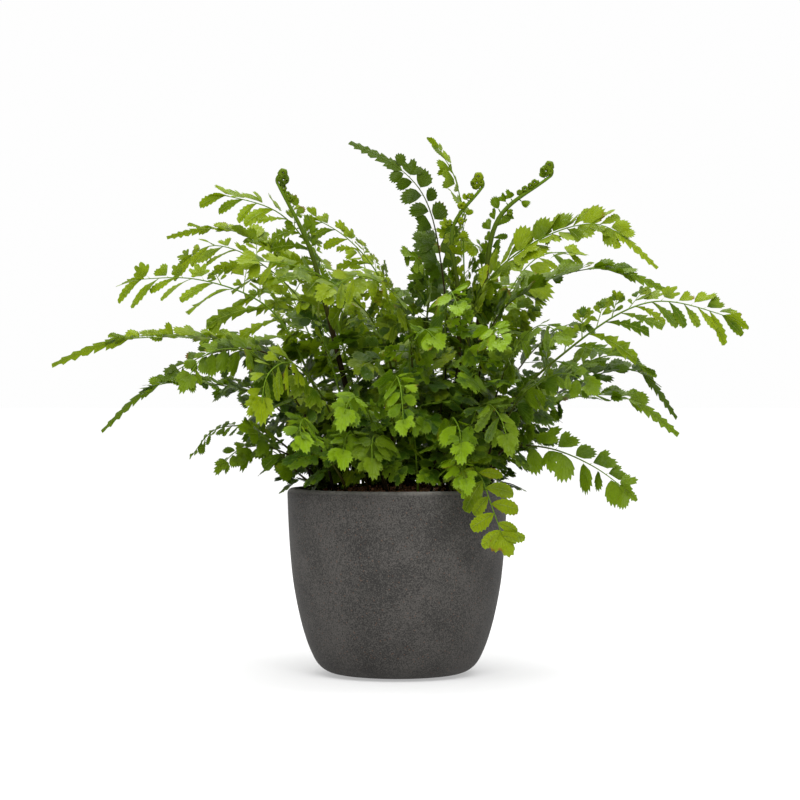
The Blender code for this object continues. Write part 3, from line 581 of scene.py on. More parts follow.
# Fronds. One row each: tint, manner of growth, the bare share of the stem, the longest leaflet, how far
# the blade rolls to the front in degrees, then the points it passes from the soil to the tip
Frond = namedtuple("Frond", "name tint manner bare leaf roll root low middle high tip")
frondRows = (
    ("left_01", "light", "feathered", 0.33, 18, 22, (-34, 2),
     (-57, -4, 169), (-94, -8, 194), (-156, -18, 198), (-201, -26, 188)),
    ("left_02", "mid", "feathered", 0.45, 17, 25, (-40, -12),
     (-52, -18, 152), (-86, -26, 167), (-137, -34, 171), (-170, -42, 149)),
    ("left_03", "young", "airy", 0.42, 27, 48, (-30, 14),
     (-49, 18, 168), (-77, 26, 217), (-120, 34, 235), (-172, 44, 235)),
    ("left_04", "light", "airy", 0.50, 23, 40, (-24, 25),
     (-38, 32, 177), (-65, 42, 230), (-112, 52, 257), (-139, 60, 244)),
    ("left_05", "light", "feathered", 0.50, 20, 12, (-17, 36),
     (-34, 46, 183), (-60, 58, 239), (-101, 72, 267), (-145, 86, 268)),
    ("left_06", "young", "airy", 0.52, 25, 50, (-13, 12),
     (-29, 8, 180), (-45, 2, 238), (-68, -10, 271), (-112, -26, 284)),
    ("left_07", "mid", "leafy", 0.35, 12, 30, (-46, 9),
     (-64, 12, 132), (-85, 18, 145), (-110, 24, 144), (-126, 28, 126)),
    ("left_08", "mid", "leafy", 0.35, 15, 40, (-45, -3),
     (-57, -8, 125), (-79, -14, 135), (-94, -18, 132), (-106, -22, 119)),
    ("left_09", "mid", "leafy", 0.25, 20, 50, (-47, -21),
     (-58, -28, 120), (-71, -36, 135), (-82, -44, 145), (-92, -52, 148)),
    ("left_10", "dark", "leafy", 0.40, 19, 40, (-31, -7),
     (-50, -20, 165), (-78, -36, 190), (-108, -52, 188), (-134, -64, 173)),
    ("left_11", "light", "leafy", 0.45, 22, 60, (-27, -20),
     (-42, -44, 162), (-60, -70, 183), (-72, -93, 175), (-75, -104, 150)),
    ("left_12", "mid", "leafy", 0.42, 20, 50, (-37, -29),
     (-57, -44, 160), (-84, -62, 189), (-106, -78, 188), (-121, -90, 166)),
    ("left_13", "young", "airy", 0.50, 18, 50, (-20, -13),
     (-34, -26, 168), (-41, -36, 194), (-48, -50, 216), (-59, -66, 219)),
    # Croziers and the fronds that stand highest
    ("crozier_left", "mid", "airy", 0.55, 9, 60, (-12, 0),
     (-28, -4, 162), (-41, -10, 214), (-52, -16, 253), (-70, -20, 289)),
    ("crozier_middle", "light", "airy", 0.55, 12, 60, (22, 2),
     (35, 0, 168), (36, -4, 227), (33, -8, 264), (50, -13, 287)),
    ("crozier_right", "mid", "airy", 0.55, 13, 60, (37, 11),
     (44, 12, 174), (52, 10, 228), (61, 8, 271), (91, 4, 295)),
    ("top_01", "light", "leafy", 0.52, 24, 35, (-4, -10),
     (-5, -24, 188), (-19, -36, 214), (-50, -52, 236), (-93, -70, 242)),
    ("top_02", "light", "leafy", 0.52, 22, 30, (6, -20),
     (9, -36, 179), (1, -52, 219), (-20, -68, 232), (-47, -86, 218)),
    ("top_03", "light", "airy", 0.55, 20, 55, (0, 22),
     (0, 22, 174), (-10, 20, 234), (-30, 16, 259), (-58, 8, 275)),
    ("top_04", "dark", "open", 0.48, 18, 60, (17, 18),
     (29, 22, 180), (27, 26, 241), (14, 30, 289), (-29, 36, 324)),
    ("top_05", "young", "airy", 0.48, 24, 55, (30, 15),
     (39, 14, 174), (40, 12, 240), (35, 9, 293), (18, 4, 321)),
    ("top_06", "young", "leafy", 0.58, 19, 40, (28, 27),
     (44, 26, 171), (56, 24, 228), (51, 22, 253), (34, 14, 257)),
    ("top_07", "mid", "leafy", 0.55, 18, 45, (8, 8),
     (12, 4, 174), (18, -6, 221), (14, -18, 243), (2, -36, 248)),
    # Right side
    ("right_01", "light", "banded", 0.42, 25, 48, (31, -8),
     (39, -12, 168), (51, -22, 229), (112, -47, 263), (148, -60, 241)),
    ("right_02", "mid", "feathered", 0.42, 24, 25, (40, 1),
     (47, 2, 168), (63, 4, 216), (115, 4, 240), (165, 4, 229)),
    ("right_03", "light", "airy", 0.40, 23, 60, (47, -11),
     (60, -20, 151), (94, -34, 187), (145, -50, 218), (199, -66, 206)),
    ("right_04", "mid", "feathered", 0.42, 20, 35, (49, 8),
     (71, 14, 147), (101, 22, 177), (132, 30, 189), (158, 38, 177)),
    ("right_05", "dark", "feathered", 0.40, 21, 35, (46, 20),
     (73, 32, 147), (109, 44, 172), (147, 58, 180), (174, 70, 155)),
    ("right_06", "mid", "feathered", 0.45, 21, 35, (55, -3),
     (68, -6, 148), (93, -8, 161), (131, -16, 164), (164, -24, 146)),
    ("right_07", "mid", "open", 0.35, 20, 60, (51, -20),
     (61, -36, 133), (84, -52, 135), (110, -68, 125), (134, -84, 107)),
    ("right_08", "mid", "leafy", 0.45, 20, 40, (42, -25),
     (56, -38, 161), (68, -55, 192), (81, -74, 204), (98, -96, 193)),
    ("right_09", "mid", "leafy", 0.35, 19, 45, (46, -28),
     (60, -44, 146), (74, -60, 167), (94, -76, 177), (114, -92, 165)),
    ("right_10", "light", "leafy", 0.50, 25, 30, (36, 26),
     (50, 30, 168), (66, 42, 223), (87, 54, 250), (120, 70, 254)),
    # Front
    ("front_01", "fresh", "leafy", 0.35, 18, 30, (-29, -40),
     (-43, -56, 135), (-52, -72, 151), (-54, -86, 146), (-50, -96, 133)),
    ("front_02", "fresh", "leafy", 0.35, 18, 30, (-17, -33),
     (-25, -48, 129), (-26, -62, 144), (-29, -76, 140), (-31, -86, 124)),
    ("front_03", "light", "hanging", 0.18, 20, 30, (39, -34),
     (39, -54, 127), (47, -68, 119), (54, -76, 100), (63, -80, 75)),
    ("front_04", "fresh", "leafy", 0.50, 18, 20, (32, -20),
     (41, -38, 156), (50, -58, 193), (54, -80, 203), (58, -110, 189)),
    ("front_05", "fresh", "leafy", 0.55, 18, 20, (21, -12),
     (27, -30, 174), (28, -48, 212), (30, -70, 223), (35, -102, 210)),
    ("front_06", "fresh", "leafy", 0.50, 19, 20, (12, -24),
     (8, -40, 168), (8, -54, 195), (15, -68, 202), (25, -88, 191)),
    ("front_07", "fresh", "leafy", 0.42, 17, 20, (0, -32),
     (-2, -52, 153), (-1, -74, 175), (2, -94, 169), (4, -108, 142)),
    ("front_08", "young", "open", 0.45, 15, 60, (12, -42),
     (11, -47, 129), (10, -50, 139), (9, -53, 147), (7, -57, 155)),
    ("front_09", "mid", "leafy", 0.40, 21, 20, (29, -30),
     (41, -50, 145), (49, -72, 160), (57, -92, 153), (63, -104, 131)),
    ("front_10", "fresh", "leafy", 0.38, 20, 20, (20, -33),
     (29, -48, 136), (31, -64, 152), (35, -80, 145), (36, -92, 127)),
    ("front_11", "fresh", "leafy", 0.42, 20, 20, (-8, -28),
     (-13, -46, 145), (-21, -66, 163), (-27, -82, 161), (-31, -92, 146)),
    ("front_12", "mid", "leafy", 0.35, 18, 20, (-6, -43),
     (-10, -55, 130), (-12, -67, 142), (-14, -80, 138), (-13, -91, 119)),
    ("front_13", "fresh", "leafy", 0.25, 16, 20, (24, -44),
     (31, -56, 122), (33, -68, 129), (36, -80, 124), (41, -88, 109)),
    # Back
    ("back_01", "mid", "leafy", 0.42, 20, 0, (-40, 29),
     (-60, 60, 162), (-90, 100, 200), (-106, 120, 205), (-118, 135, 198)),
    ("back_02", "light", "airy", 0.45, 21, 0, (-30, 40),
     (-45, 75, 174), (-68, 110, 229), (-79, 130, 242), (-88, 145, 247)),
    ("back_03", "mid", "leafy", 0.45, 21, 0, (-16, 47),
     (-26, 80, 181), (-40, 115, 233), (-47, 134, 247), (-52, 150, 253)),
    ("back_04", "light", "airy", 0.50, 20, 0, (-5, 36),
     (-11, 60, 174), (-17, 95, 232), (-22, 114, 251), (-27, 130, 262)),
    ("back_05", "mid", "leafy", 0.45, 21, 0, (6, 47),
     (2, 80, 181), (3, 120, 226), (3, 142, 234), (2, 158, 231)),
    ("back_06", "dark", "leafy", 0.50, 20, 0, (17, 37),
     (15, 65, 181), (21, 95, 238), (19, 109, 258), (15, 120, 275)),
    ("back_07", "light", "airy", 0.45, 21, 0, (27, 46),
     (29, 80, 175), (39, 120, 223), (44, 140, 234), (47, 155, 236)),
    ("back_08", "mid", "leafy", 0.45, 21, 0, (39, 38),
     (49, 75, 174), (69, 110, 223), (79, 129, 237), (87, 145, 243)),
    ("back_09", "dark", "leafy", 0.42, 20, 0, (47, 26),
     (64, 65, 162), (96, 100, 203), (113, 117, 211), (126, 130, 209)),
    ("back_10", "dark", "leafy", 0.40, 18, 0, (-51, 18),
     (-65, 40, 147), (-95, 75, 171), (-107, 90, 171), (-116, 100, 161)),
    ("back_11", "mid", "leafy", 0.35, 18, 0, (-3, 51),
     (-3, 80, 139), (-6, 110, 153), (-6, 128, 149), (-5, 142, 132)),
)

# How each manner of growth sets its leaflets. Spacing is between leaflets of one side, as shares of the
# longest leaflet, at the base and at the tip. Angles are in degrees: sweep leans a leaflet to the tip,
# droop bends it off the blade's face, twist turns the end leaflet. Sag, kinds and size are those of
# leaflets that point up, level and down. Last are the kinds that point down on the outer half, long is how
# much longer the lowest of those that point down are, and reach how much more they lean. End is the last
# leaflet's share of the longest, compound the share of the blade whose leaflets are cut into parts, and
# roll the share of the row's roll. Tip is the kind of the end leaflet, and tipShade its shade
anyManner = {"long": 0.0, "reach": 0, "compound": 0.0, "parts": (), "roll": 1.0, "twist": 0, "tip": "tip",
             "tipShade": 0.7}
manners = {
    "airy": {**anyManner, "spacing": (0.54, 0.34), "sweep": (24, 44), "droop": (-12, 26),
             "sag": (0.02, 0.16, 0.36), "size": (0.95, 1.0, 1.12), "end": 0.42,
             "kinds": (("hand", "fan", "fan"), ("ternate", "scythe", "split"), ("drooper",)),
             "last": ("scythe",), "long": 0.5, "reach": 16, "compound": 0.5, "parts": ("finger", "fan"),
             "twist": 55},
    "leafy": {**anyManner, "spacing": (0.47, 0.36), "sweep": (14, 38), "droop": (-10, 40),
              "sag": (0.06, 0.16, 0.22), "size": (0.9, 1.0, 1.0), "end": 0.30,
              "kinds": (("fan", "ovate", "ternate"), ("ternate", "ovate", "split"),
                        ("ovate", "ternate", "spoon")),
              "last": ("ovate", "scythe"), "long": 0.1, "reach": 4, "compound": 0.3,
              "parts": ("ovate", "fan", "ternate"), "tip": "crown"},
    "feathered": {**anyManner, "spacing": (0.34, 0.25), "sweep": (36, 52), "droop": (-34, -4),
                  "sag": (0.04, 0.05, 0.10), "size": (0.95, 1.02, 0.9), "end": 0.28,
                  "kinds": (("ovate", "spoon"), ("ovate", "spoon", "split"), ("ovate", "spoon")),
                  "last": ("spoon",), "long": 0.1, "compound": 0.12, "parts": ("ovate", "fan"),
                  "roll": 0.5, "twist": 50},
    "banded": {**anyManner, "spacing": (0.28, 0.20), "sweep": (36, 54), "droop": (-22, 8),
               "sag": (0.04, 0.06, 0.12), "size": (0.9, 0.95, 0.8), "end": 0.36,
               "kinds": (("ovate", "spoon"), ("ovate", "split", "spoon"), ("ovate", "ternate")),
               "last": ("ovate", "spoon"), "long": 0.1, "compound": 0.1, "parts": ("ovate", "fan"),
               "twist": -12},
    "open": {**anyManner, "spacing": (0.60, 0.50), "sweep": (20, 44), "droop": (-8, 30),
             "sag": (0.05, 0.12, 0.16), "size": (1.0, 1.0, 1.0), "end": 0.50,
             "kinds": (("ovate", "split", "ternate"), ("ovate", "ternate", "split"), ("ternate", "ovate")),
             "last": ("ovate",), "twist": 15},
    "hanging": {**anyManner, "spacing": (0.56, 0.50), "sweep": (12, 30), "droop": (-14, 24),
                "sag": (0.12, 0.12, 0.12), "size": (0.86, 0.86, 0.86), "end": 0.66,
                "kinds": (("oblong",), ("oblong",), ("oblong",)), "last": ("oblong",), "tip": "trefoil",
                "tipShade": 0.95},
}
frondSpec = {
    "footDepth": 12.0,
    "footRise": 3.0,
    "splineSteps": 24,
    "stemSides": 8,
    "stemStep": 4.0,
    "fewestSteps": 12,
    "stemRadius": (1.0, 0.24),
    "stout": {"crozier_left": 1.7, "crozier_middle": 1.5, "crozier_right": 1.8, "left_03": 1.2,
              "left_06": 1.2, "top_01": 1.3, "top_04": 1.2, "right_01": 1.2, "right_03": 1.3,
              "front_03": 0.75},
    "crozierTip": 0.85,
    "tipSag": 0.6,
    "tipCup": -0.6,
    "tipRipple": 0.05,
    # The end leaf's length as a share of the longest leaflet, and the lengths of the lobed strips that a
    # few fronds end in instead
    "tip": 0.66,
    "tips": {"left_07": 0.4, "top_05": 0.5, "front_05": 0.6, "front_07": 0.6, "front_03": 0.80},
    "strips": {"left_01": 46.0, "left_02": 40.0, "left_05": 30.0, "top_04": 40.0, "right_01": 32.0,
               "right_02": 34.0, "right_05": 34.0, "right_06": 34.0},
    "stemIntoTip": 0.75,
    "clearOfTip": 0.45,
    "clearOfStrip": 0.85,
    "greenFrom": {"young": 0.10, "light": 0.46, "fresh": 0.40, "mid": 0.62, "dark": 0.85, "crozier": 0.70},
    "greenVary": (-0.08, 0.08),
    "spacingVary": (0.75, 1.25),
    "potClearance": 0.8,
    "soilClearance": 2.0,
    "lipHeight": 12.0,
    "seed": 31,
}


def clearOfPot(point):
    # Lifts or pushes a leaf's point out of the pot's wall and the soil
    spare = frondSpec["potClearance"]
    rim = potSpec["rimHeight"]
    reach = math.hypot(point.x, point.y)
    if point.z > rim + spare or reach < 1.0:
        return point
    outer = outerRadius(point.z) + spare
    if reach < innerRadius(point.z) - spare:
        point.z = max(point.z, soilHeight(point.x, point.y) + frondSpec["soilClearance"])
    elif reach < outer:
        if point.z > rim - frondSpec["lipHeight"]:
            point.z = rim + spare
        else:
            point.x *= outer / reach
            point.y *= outer / reach
    return point


class Blade:
    # Where one leaf's flat drawing stands in space, and how it is bent
    rippleAcross = 9.0
    rippleAlong = 5.0

    def __init__(self, origin, along, across, normal, length, sag, sickle, cup, ripple, phase):
        self.origin = origin
        self.along = along
        self.across = across
        self.normal = normal
        self.length = length
        self.sag = sag
        self.sickle = sickle
        self.cup = cup
        self.ripple = ripple
        self.phase = phase
        self.turned = along.cross(across).dot(normal) < 0

    def point(self, u, v, edge=0.0):
        far = u / self.length
        side = v + self.sickle * self.length * far * far
        wave = math.sin(self.rippleAcross * v / self.length + self.rippleAlong * far + self.phase)
        lift = self.cup * v * v / self.length + self.ripple * self.length * edge * edge * wave
        place = self.origin + self.along * u + self.across * side + self.normal * lift
        return place - up * self.sag * self.length * far * far

    def branch(self, u, angle, length):
        # A smaller blade that leaves this one's midrib
        far = u / self.length
        ahead = (self.along + self.across * 2 * self.sickle * far - up * 2 * self.sag * far).normalized()
        across = squared(self.across, ahead)
        lean = math.radians(angle)
        along = ahead * math.cos(lean) + across * math.sin(lean)
        beside = across * math.cos(lean) - ahead * math.sin(lean)
        normal = along.cross(beside) * (-1 if self.turned else 1)
        return Blade(self.point(u, 0.0), along, beside, normal, length, self.sag * 0.5, 0.0, self.cup,
                     self.ripple, self.phase + u)


# Blades whose veins spread from the stalk: the lobes' angles, lengths and half spreads in degrees, how
# pointed a lobe is, how deep the teeth are, the rays of the mesh, and the stalk's share of the length
lobedKinds = {
    "ovate": {"lobes": ((0, 1.0, 50),), "point": 0.58, "tooth": 0.13, "rays": 21, "stalk": 0.06},
    "fan": {"lobes": ((-18, 0.92, 20), (16, 1.0, 21)), "point": 0.26, "tooth": 0.11, "rays": 19,
            "stalk": 0.16},
    "split": {"lobes": ((-22, 0.86, 24), (16, 1.0, 30)), "point": 0.40, "tooth": 0.12, "rays": 21,
              "stalk": 0.12},
    "ternate": {"lobes": ((-44, 0.72, 30), (0, 1.0, 27), (42, 0.78, 30)),
                "point": 0.42, "tooth": 0.13, "rays": 27, "stalk": 0.10},
    "trefoil": {"lobes": ((-42, 0.74, 32), (0, 1.0, 31), (40, 0.80, 32)),
                "point": 0.38, "tooth": 0.07, "rays": 27, "stalk": 0.08},
    "hand": {"lobes": ((-50, 0.58, 18), (-25, 0.84, 17), (2, 1.0, 16), (27, 0.84, 17), (50, 0.58, 18)),
             "point": 0.40, "tooth": 0.03, "rays": 29, "stalk": 0.22},
    "crown": {"lobes": ((-66, 0.48, 28), (-36, 0.76, 30), (0, 1.0, 33), (36, 0.74, 30), (66, 0.50, 28)),
              "point": 0.45, "tooth": 0.14, "rays": 35, "stalk": 0.02},
}
# How much each lobe's angle, length and spread vary, the least reach between lobes, the mesh's rings from
# the stalk's end to the edge, and the stalk's half width
lobedSpec = {
    "turn": (-4, 4),
    "length": (0.88, 1.06),
    "spread": (0.92, 1.08),
    "between": 0.22,
    "rings": (0.28, 0.68, 1.0),
    "stalkHalf": 0.22,
}


def addLobed(shape, blade, kind, shade, growth, draw):
    # A toothed blade with veins that spread from its stalk, each lobe of a slightly different size
    spec = lobedSpec
    lobes = [(angle + draw.uniform(*spec["turn"]), length * draw.uniform(*spec["length"]),
              spread * draw.uniform(*spec["spread"])) for angle, length, spread in kind["lobes"]]
    low = min(angle - spread for angle, length, spread in lobes)
    high = max(angle + spread for angle, length, spread in lobes)
    stalk = kind["stalk"] * blade.length
    ends = []
    for ray in range(kind["rays"]):
        angle = low + (high - low) * ray / (kind["rays"] - 1)
        reach = spec["between"]
        for middle, length, spread in lobes:
            off = min(1.0, abs(angle - middle) / spread)
            reach = max(reach, length * (1 - off * off) ** kind["point"])
        if ray % 2 == 0:
            reach *= 1 - kind["tooth"]
        ends.append((math.radians(angle), reach * (blade.length - stalk), ray / 2))
    root = [shape.addPoint(blade.point(0.0, side * spec["stalkHalf"]), (0.3, 0.5, shade), growth)
            for side in (-1, 1)]
    heart = shape.addPoint(blade.point(stalk, 0.0), (0.0, 0.5, shade), growth)
    rows = []
    for ring in spec["rings"]:
        row = []
        for angle, reach, vein in ends:
            u = stalk + reach * ring * math.cos(angle)
            v = reach * ring * math.sin(angle)
            row.append(shape.addPoint(clearOfPot(blade.point(u, v, ring)), (ring, vein, shade), growth))
        rows.append(row)
    shape.addFace((root[0], heart, root[1]), blade.turned)
    for low, high in zip(rows[0], rows[0][1:]):
        shape.addFace((heart, low, high), blade.turned)
    shape.joinRows(rows, blade.turned)


# Blades with a midrib: the half width as a share of the length, where the wedge of the base ends and how
# hollow its sides are, how pointed the end is, teeth on each side and how deep they are, pairs of side
# lobes and how deep the cuts between them are, and how far the lobes lean to the tip
ribbedKinds = {
    "scythe": {"half": 0.165, "wedge": 0.62, "hollow": 1.4, "point": 0.55, "teeth": 7, "tooth": 0.16,
               "lobes": 0, "lean": 0.45},
    "drooper": {"half": 0.145, "wedge": 0.76, "hollow": 1.5, "point": 0.60, "teeth": 9, "tooth": 0.20,
                "lobes": 3, "cut": 0.62, "lean": 0.60},
    "finger": {"half": 0.16, "wedge": 0.72, "hollow": 1.3, "point": 0.55, "teeth": 3, "tooth": 0.12,
               "lobes": 0, "lean": 0.30},
    "spoon": {"half": 0.24, "wedge": 0.66, "hollow": 1.7, "point": 0.55, "teeth": 7, "tooth": 0.13,
              "lobes": 1, "cut": 0.25, "lean": 0.40},
    "oblong": {"half": 0.27, "wedge": 0.52, "hollow": 0.80, "point": 0.50, "teeth": 7, "tooth": 0.10,
               "lobes": 0, "lean": 0.22},
    "strip": {"half": 0.098, "wedge": 0.12, "hollow": 0.6, "point": 0.42, "teeth": 12, "tooth": 0.12,
              "lobes": 5, "cut": 0.52, "lean": 0.9, "least": 0.15, "fold": 0.3, "sag": 0.13, "shade": 0.6},
    "tip": {"half": 0.20, "wedge": 0.30, "hollow": 0.8, "point": 0.75, "teeth": 9, "tooth": 0.12,
            "lobes": 4, "cut": 0.30, "lean": 0.70},
}
ribbedSpec = {
    "columns": (-1.0, -0.55, 0.0, 0.55, 1.0),  # where the mesh's points stand across the half width
    "toothed": (0.25, 0.99),  # where along the blade the teeth start and end
    "lobesFrom": 0.12,
    "lobesBeyond": 0.9,  # how much of one more lobe stands at the tip
    "least": 0.2,
    "fuller": (-0.05, 0.22),
    "veinLean": 0.8,
    "edgeLean": 1.5,
}


def halfWidth(kind, t):
    # The blade's half width as a share of its length, at t from its stalk to its tip
    if t < kind["wedge"]:
        width = math.sin(math.pi / 2 * t / kind["wedge"]) ** kind["hollow"]
    else:
        width = max(0.0, 1 - ((t - kind["wedge"]) / (1 - kind["wedge"])) ** 2) ** kind["point"]
    if kind["lobes"]:
        first = ribbedSpec["lobesFrom"]
        phase = max(0.0, t - first) / (1 - first) * (kind["lobes"] + ribbedSpec["lobesBeyond"])
        if phase > 0.5:
            width *= 1 - kind["cut"] * (0.5 + 0.5 * math.cos(2 * math.pi * phase)) ** 2
    return kind["half"] * width


def veinAt(kind, t, side):
    # Veins leave the midrib for the teeth, and lean to the tip on their way to the side
    return t * kind["teeth"] + 0.5 - ribbedSpec["veinLean"] * side


def addRibbed(shape, blade, kind, fuller, shade, growth):
    # A toothed blade with veins from its midrib. The side that faces the frond's tip is the fuller one
    spec = ribbedSpec
    low, high = spec["toothed"]
    rows = []
    count = kind["teeth"] * 2
    for number in range(count + 1):
        t = number / count
        toothed = kind["tooth"] if low < t < high else 0.0
        half = halfWidth(kind, t) * blade.length * (1 + toothed if number % 2 else 1 - toothed)
        row = []
        for column in spec["columns"]:
            side = abs(column)
            u = min(t * blade.length + kind["lean"] * half * side ** spec["edgeLean"], blade.length)
            v = (half * (1 + fuller * column) + spec["least"]) * column
            point = clearOfPot(blade.point(u, v, side))
            row.append(shape.addPoint(point, (side, veinAt(kind, t, side), shade), growth))
        rows.append(row)
    shape.joinRows(rows, blade.turned)


def addLeaf(shape, blade, kind, shade, growth, draw):
    if kind in lobedKinds:
        addLobed(shape, blade, lobedKinds[kind], shade, growth, draw)
    else:
        addRibbed(shape, blade, ribbedKinds[kind], draw.uniform(*ribbedSpec["fuller"]), shade, growth)


# A leaflet that is itself cut into small ones: its rib, where the small ones stand along it, how large they
# are as shares of its length and how far they lean, and the leaf at its end
compoundSpec = {
    "steps": 6,
    "rib": 0.84,
    "ribHalf": (0.38, 0.18),
    "ribShade": 0.6,
    "places": (0.20, 0.34, 0.46, 0.57, 0.66, 0.74),
    "fewPlaces": (0.26, 0.42, 0.56, 0.68),
    "fewBelow": 15.0,
    "largest": 0.44,
    "largestAt": 0.36,
    "lessAway": 0.30,
    "vary": (0.85, 1.15),
    "shift": (-0.02, 0.02),
    "lean": (38, 58),
    "endFrom": 0.64,
    "endLength": 0.40,
    "ends": ("ternate", "crown"),
}


def addCompound(shape, blade, leaves, shades, growth, draw):
    spec = compoundSpec
    rib = []
    for step in range(spec["steps"] + 1):
        share = step / spec["steps"]
        wide = between(spec["ribHalf"], share)
        rib.append([shape.addPoint(clearOfPot(blade.point(blade.length * spec["rib"] * share, side * wide)),
                                   (0.2, 0.0, spec["ribShade"]), growth) for side in (-1, 1)])
    shape.joinRows(rib, blade.turned)
    side = draw.choice((-1, 1))
    for place in spec["fewPlaces" if blade.length <= spec["fewBelow"] else "places"]:
        size = blade.length * (spec["largest"] - spec["lessAway"] * abs(place - spec["largestAt"]))
        size *= draw.uniform(*spec["vary"])
        start = blade.length * (place + draw.uniform(*spec["shift"]))
        small = blade.branch(start, side * draw.uniform(*spec["lean"]), size)
        addLeaf(shape, small, draw.choice(leaves), draw.uniform(*shades), growth, draw)
        side = -side
    end = blade.branch(blade.length * spec["endFrom"], 0.0, blade.length * spec["endLength"])
    addLeaf(shape, end, draw.choice(spec["ends"]), draw.uniform(*shades), growth, draw)


def addTube(shape, stations):
    # A round stem through its stations, closed at its end: centre, side, top, radius and growth of each
    rings = []
    for centre, side, top, radius, growth in stations:
        ring = []
        for angle in around(frondSpec["stemSides"]):
            point = centre + (side * math.cos(angle) + top * math.sin(angle)) * radius
            ring.append(shape.addPoint(point, plain, growth))
        rings.append(ring)
    shape.joinRings(rings, stemPart)
    shape.addFace(rings[-1], skin=stemPart)


class Route:
    # The way one frond takes, from the bottom of its foot to its tip
    def __init__(self, row):
        self.row = row
        x, y = row.root
        ground = soilHeight(x, y)
        underground = frondSpec["footDepth"] + frondSpec["footRise"]
        feet = [Vector((x, y, ground + rise)) for rise in (-frondSpec["footDepth"], frondSpec["footRise"])]
        passed = [Vector(point) for point in (row.low, row.middle, row.high, row.tip)]
        self.line = through(feet + passed, frondSpec["splineSteps"])
        self.reached = [0.0]
        for start, end in zip(self.line, self.line[1:]):
            self.reached.append(self.reached[-1] + (end - start).length)
        self.length = self.reached[-1]
        self.bare = underground + row.bare * (self.length - underground)
        self.out = Vector((row.tip[0] - x, row.tip[1] - y, 0.0)).normalized()
        self.roll = math.radians(row.roll if self.out.x > 0 else -row.roll) * manners[row.manner]["roll"]

    def at(self, distance):
        # The place, and the directions to the side, off the upper face and ahead
        distance = min(max(distance, 0.0), self.length)
        index = 0
        while index < len(self.line) - 2 and self.reached[index + 1] < distance:
            index += 1
        share = (distance - self.reached[index]) / (self.reached[index + 1] - self.reached[index])
        ahead = (self.line[min(index + 2, len(self.line) - 1)] - self.line[max(index - 1, 0)]).normalized()
        side = squared(self.out.cross(up), ahead)
        top = rotated(side.cross(ahead), self.roll * min(1.0, distance / self.bare) ** 2, ahead)
        return self.line[index].lerp(self.line[index + 1], share), ahead.cross(top), top, ahead


def stemRadius(row, share):
    foot, end = frondSpec["stemRadius"]
    foot = frondSpec["stout"].get(row.name, foot)
    if row.name.startswith("crozier"):
        return between((foot, frondSpec["crozierTip"]), share**4)
    return between((foot, end), share**0.75)


def tipLength(row):
    if row.name in frondSpec["strips"]:
        return frondSpec["strips"][row.name]
    return row.leaf * frondSpec["tips"].get(row.name, frondSpec["tip"])


def growStem(shape, route, growth, reach):
    steps = max(frondSpec["fewestSteps"], round(reach / frondSpec["stemStep"]))
    stations = []
    for step in range(steps + 1):
        share = step / steps
        centre, side, top, _ = route.at(share * reach)
        stations.append((centre, side, top, stemRadius(route.row, share), (share, *growth[1:])))
    addTube(shape, stations)


# How single leaflets vary. Level is how far one may point up or down and still be taken as level. Bends
# are how it sags, curves sideways, cups and ripples, and where its ripple starts
leafletSpec = {
    "level": 0.25,
    "size": (0.82, 1.16),
    "sweep": (-11, 11),
    "tilt": 20,
    "root": 0.6,
    "bends": ((0.5, 1.5), (-0.06, 0.16), (-0.9, 0.2), (0.015, 0.05), anyAngle),
    "shades": (0.1, 1.0),
    "compoundFrom": 12.0,
    "compoundSize": 1.1,
    "lowest": 0.72,
    "rise": 1.4,
    "taper": 0.75,
}


def leafSize(row, share):
    # Shorter at the lowest leaflets, longest at a fifth of the blade, then less and less to the tip
    rise = min(1.0, leafletSpec["lowest"] + leafletSpec["rise"] * share)
    end = manners[row.manner]["end"]
    return row.leaf * rise * (end + (1 - end) * (1 - share) ** leafletSpec["taper"])


def drawBends(draw, spec):
    return [draw.uniform(*ends) for ends in spec["bends"]]


def growLeaflet(shape, route, distance, share, right, draw, growth):
    spec = leafletSpec
    row = route.row
    manner = manners[row.manner]
    centre, side, top, ahead = route.at(distance)
    out = side if right else -side
    # Whether it points up, level or down, as the places in the manners' triples
    facing = 0 if out.z > spec["level"] else 2 if out.z < -spec["level"] else 1
    length = leafSize(row, share) * manner["size"][facing] * draw.uniform(*spec["size"])
    lean = manner["reach"] if facing == 2 else 0.0
    sweep = math.radians(between(manner["sweep"], share) + lean + draw.uniform(*spec["sweep"]))
    droop = math.radians(draw.uniform(*manner["droop"]))
    level = out * math.cos(droop) - top * math.sin(droop)
    along = (level * math.cos(sweep) + ahead * math.sin(sweep)).normalized()
    across = rotated(squared(ahead, along), math.radians(draw.gauss(0, spec["tilt"])), along)
    normal = along.cross(across) if right else across.cross(along)
    origin = centre + out * stemRadius(row, distance / route.length) * spec["root"]
    sag, *bends = drawBends(draw, spec)
    blade = Blade(origin, along, across, normal, length, manner["sag"][facing] * sag, *bends)
    kinds = manner["kinds"][facing] if facing != 2 or share < 0.5 else manner["last"]
    if facing != 2 and share < manner["compound"] and length > spec["compoundFrom"]:
        blade.length = length * spec["compoundSize"]
        addCompound(shape, blade, manner["parts"], spec["shades"], growth, draw)
        return
    if facing == 2:
        blade.length = length * (1 + manner["long"] * max(0.0, 1 - 2 * share))
    addLeaf(shape, blade, draw.choice(kinds), draw.uniform(*spec["shades"]), growth, draw)


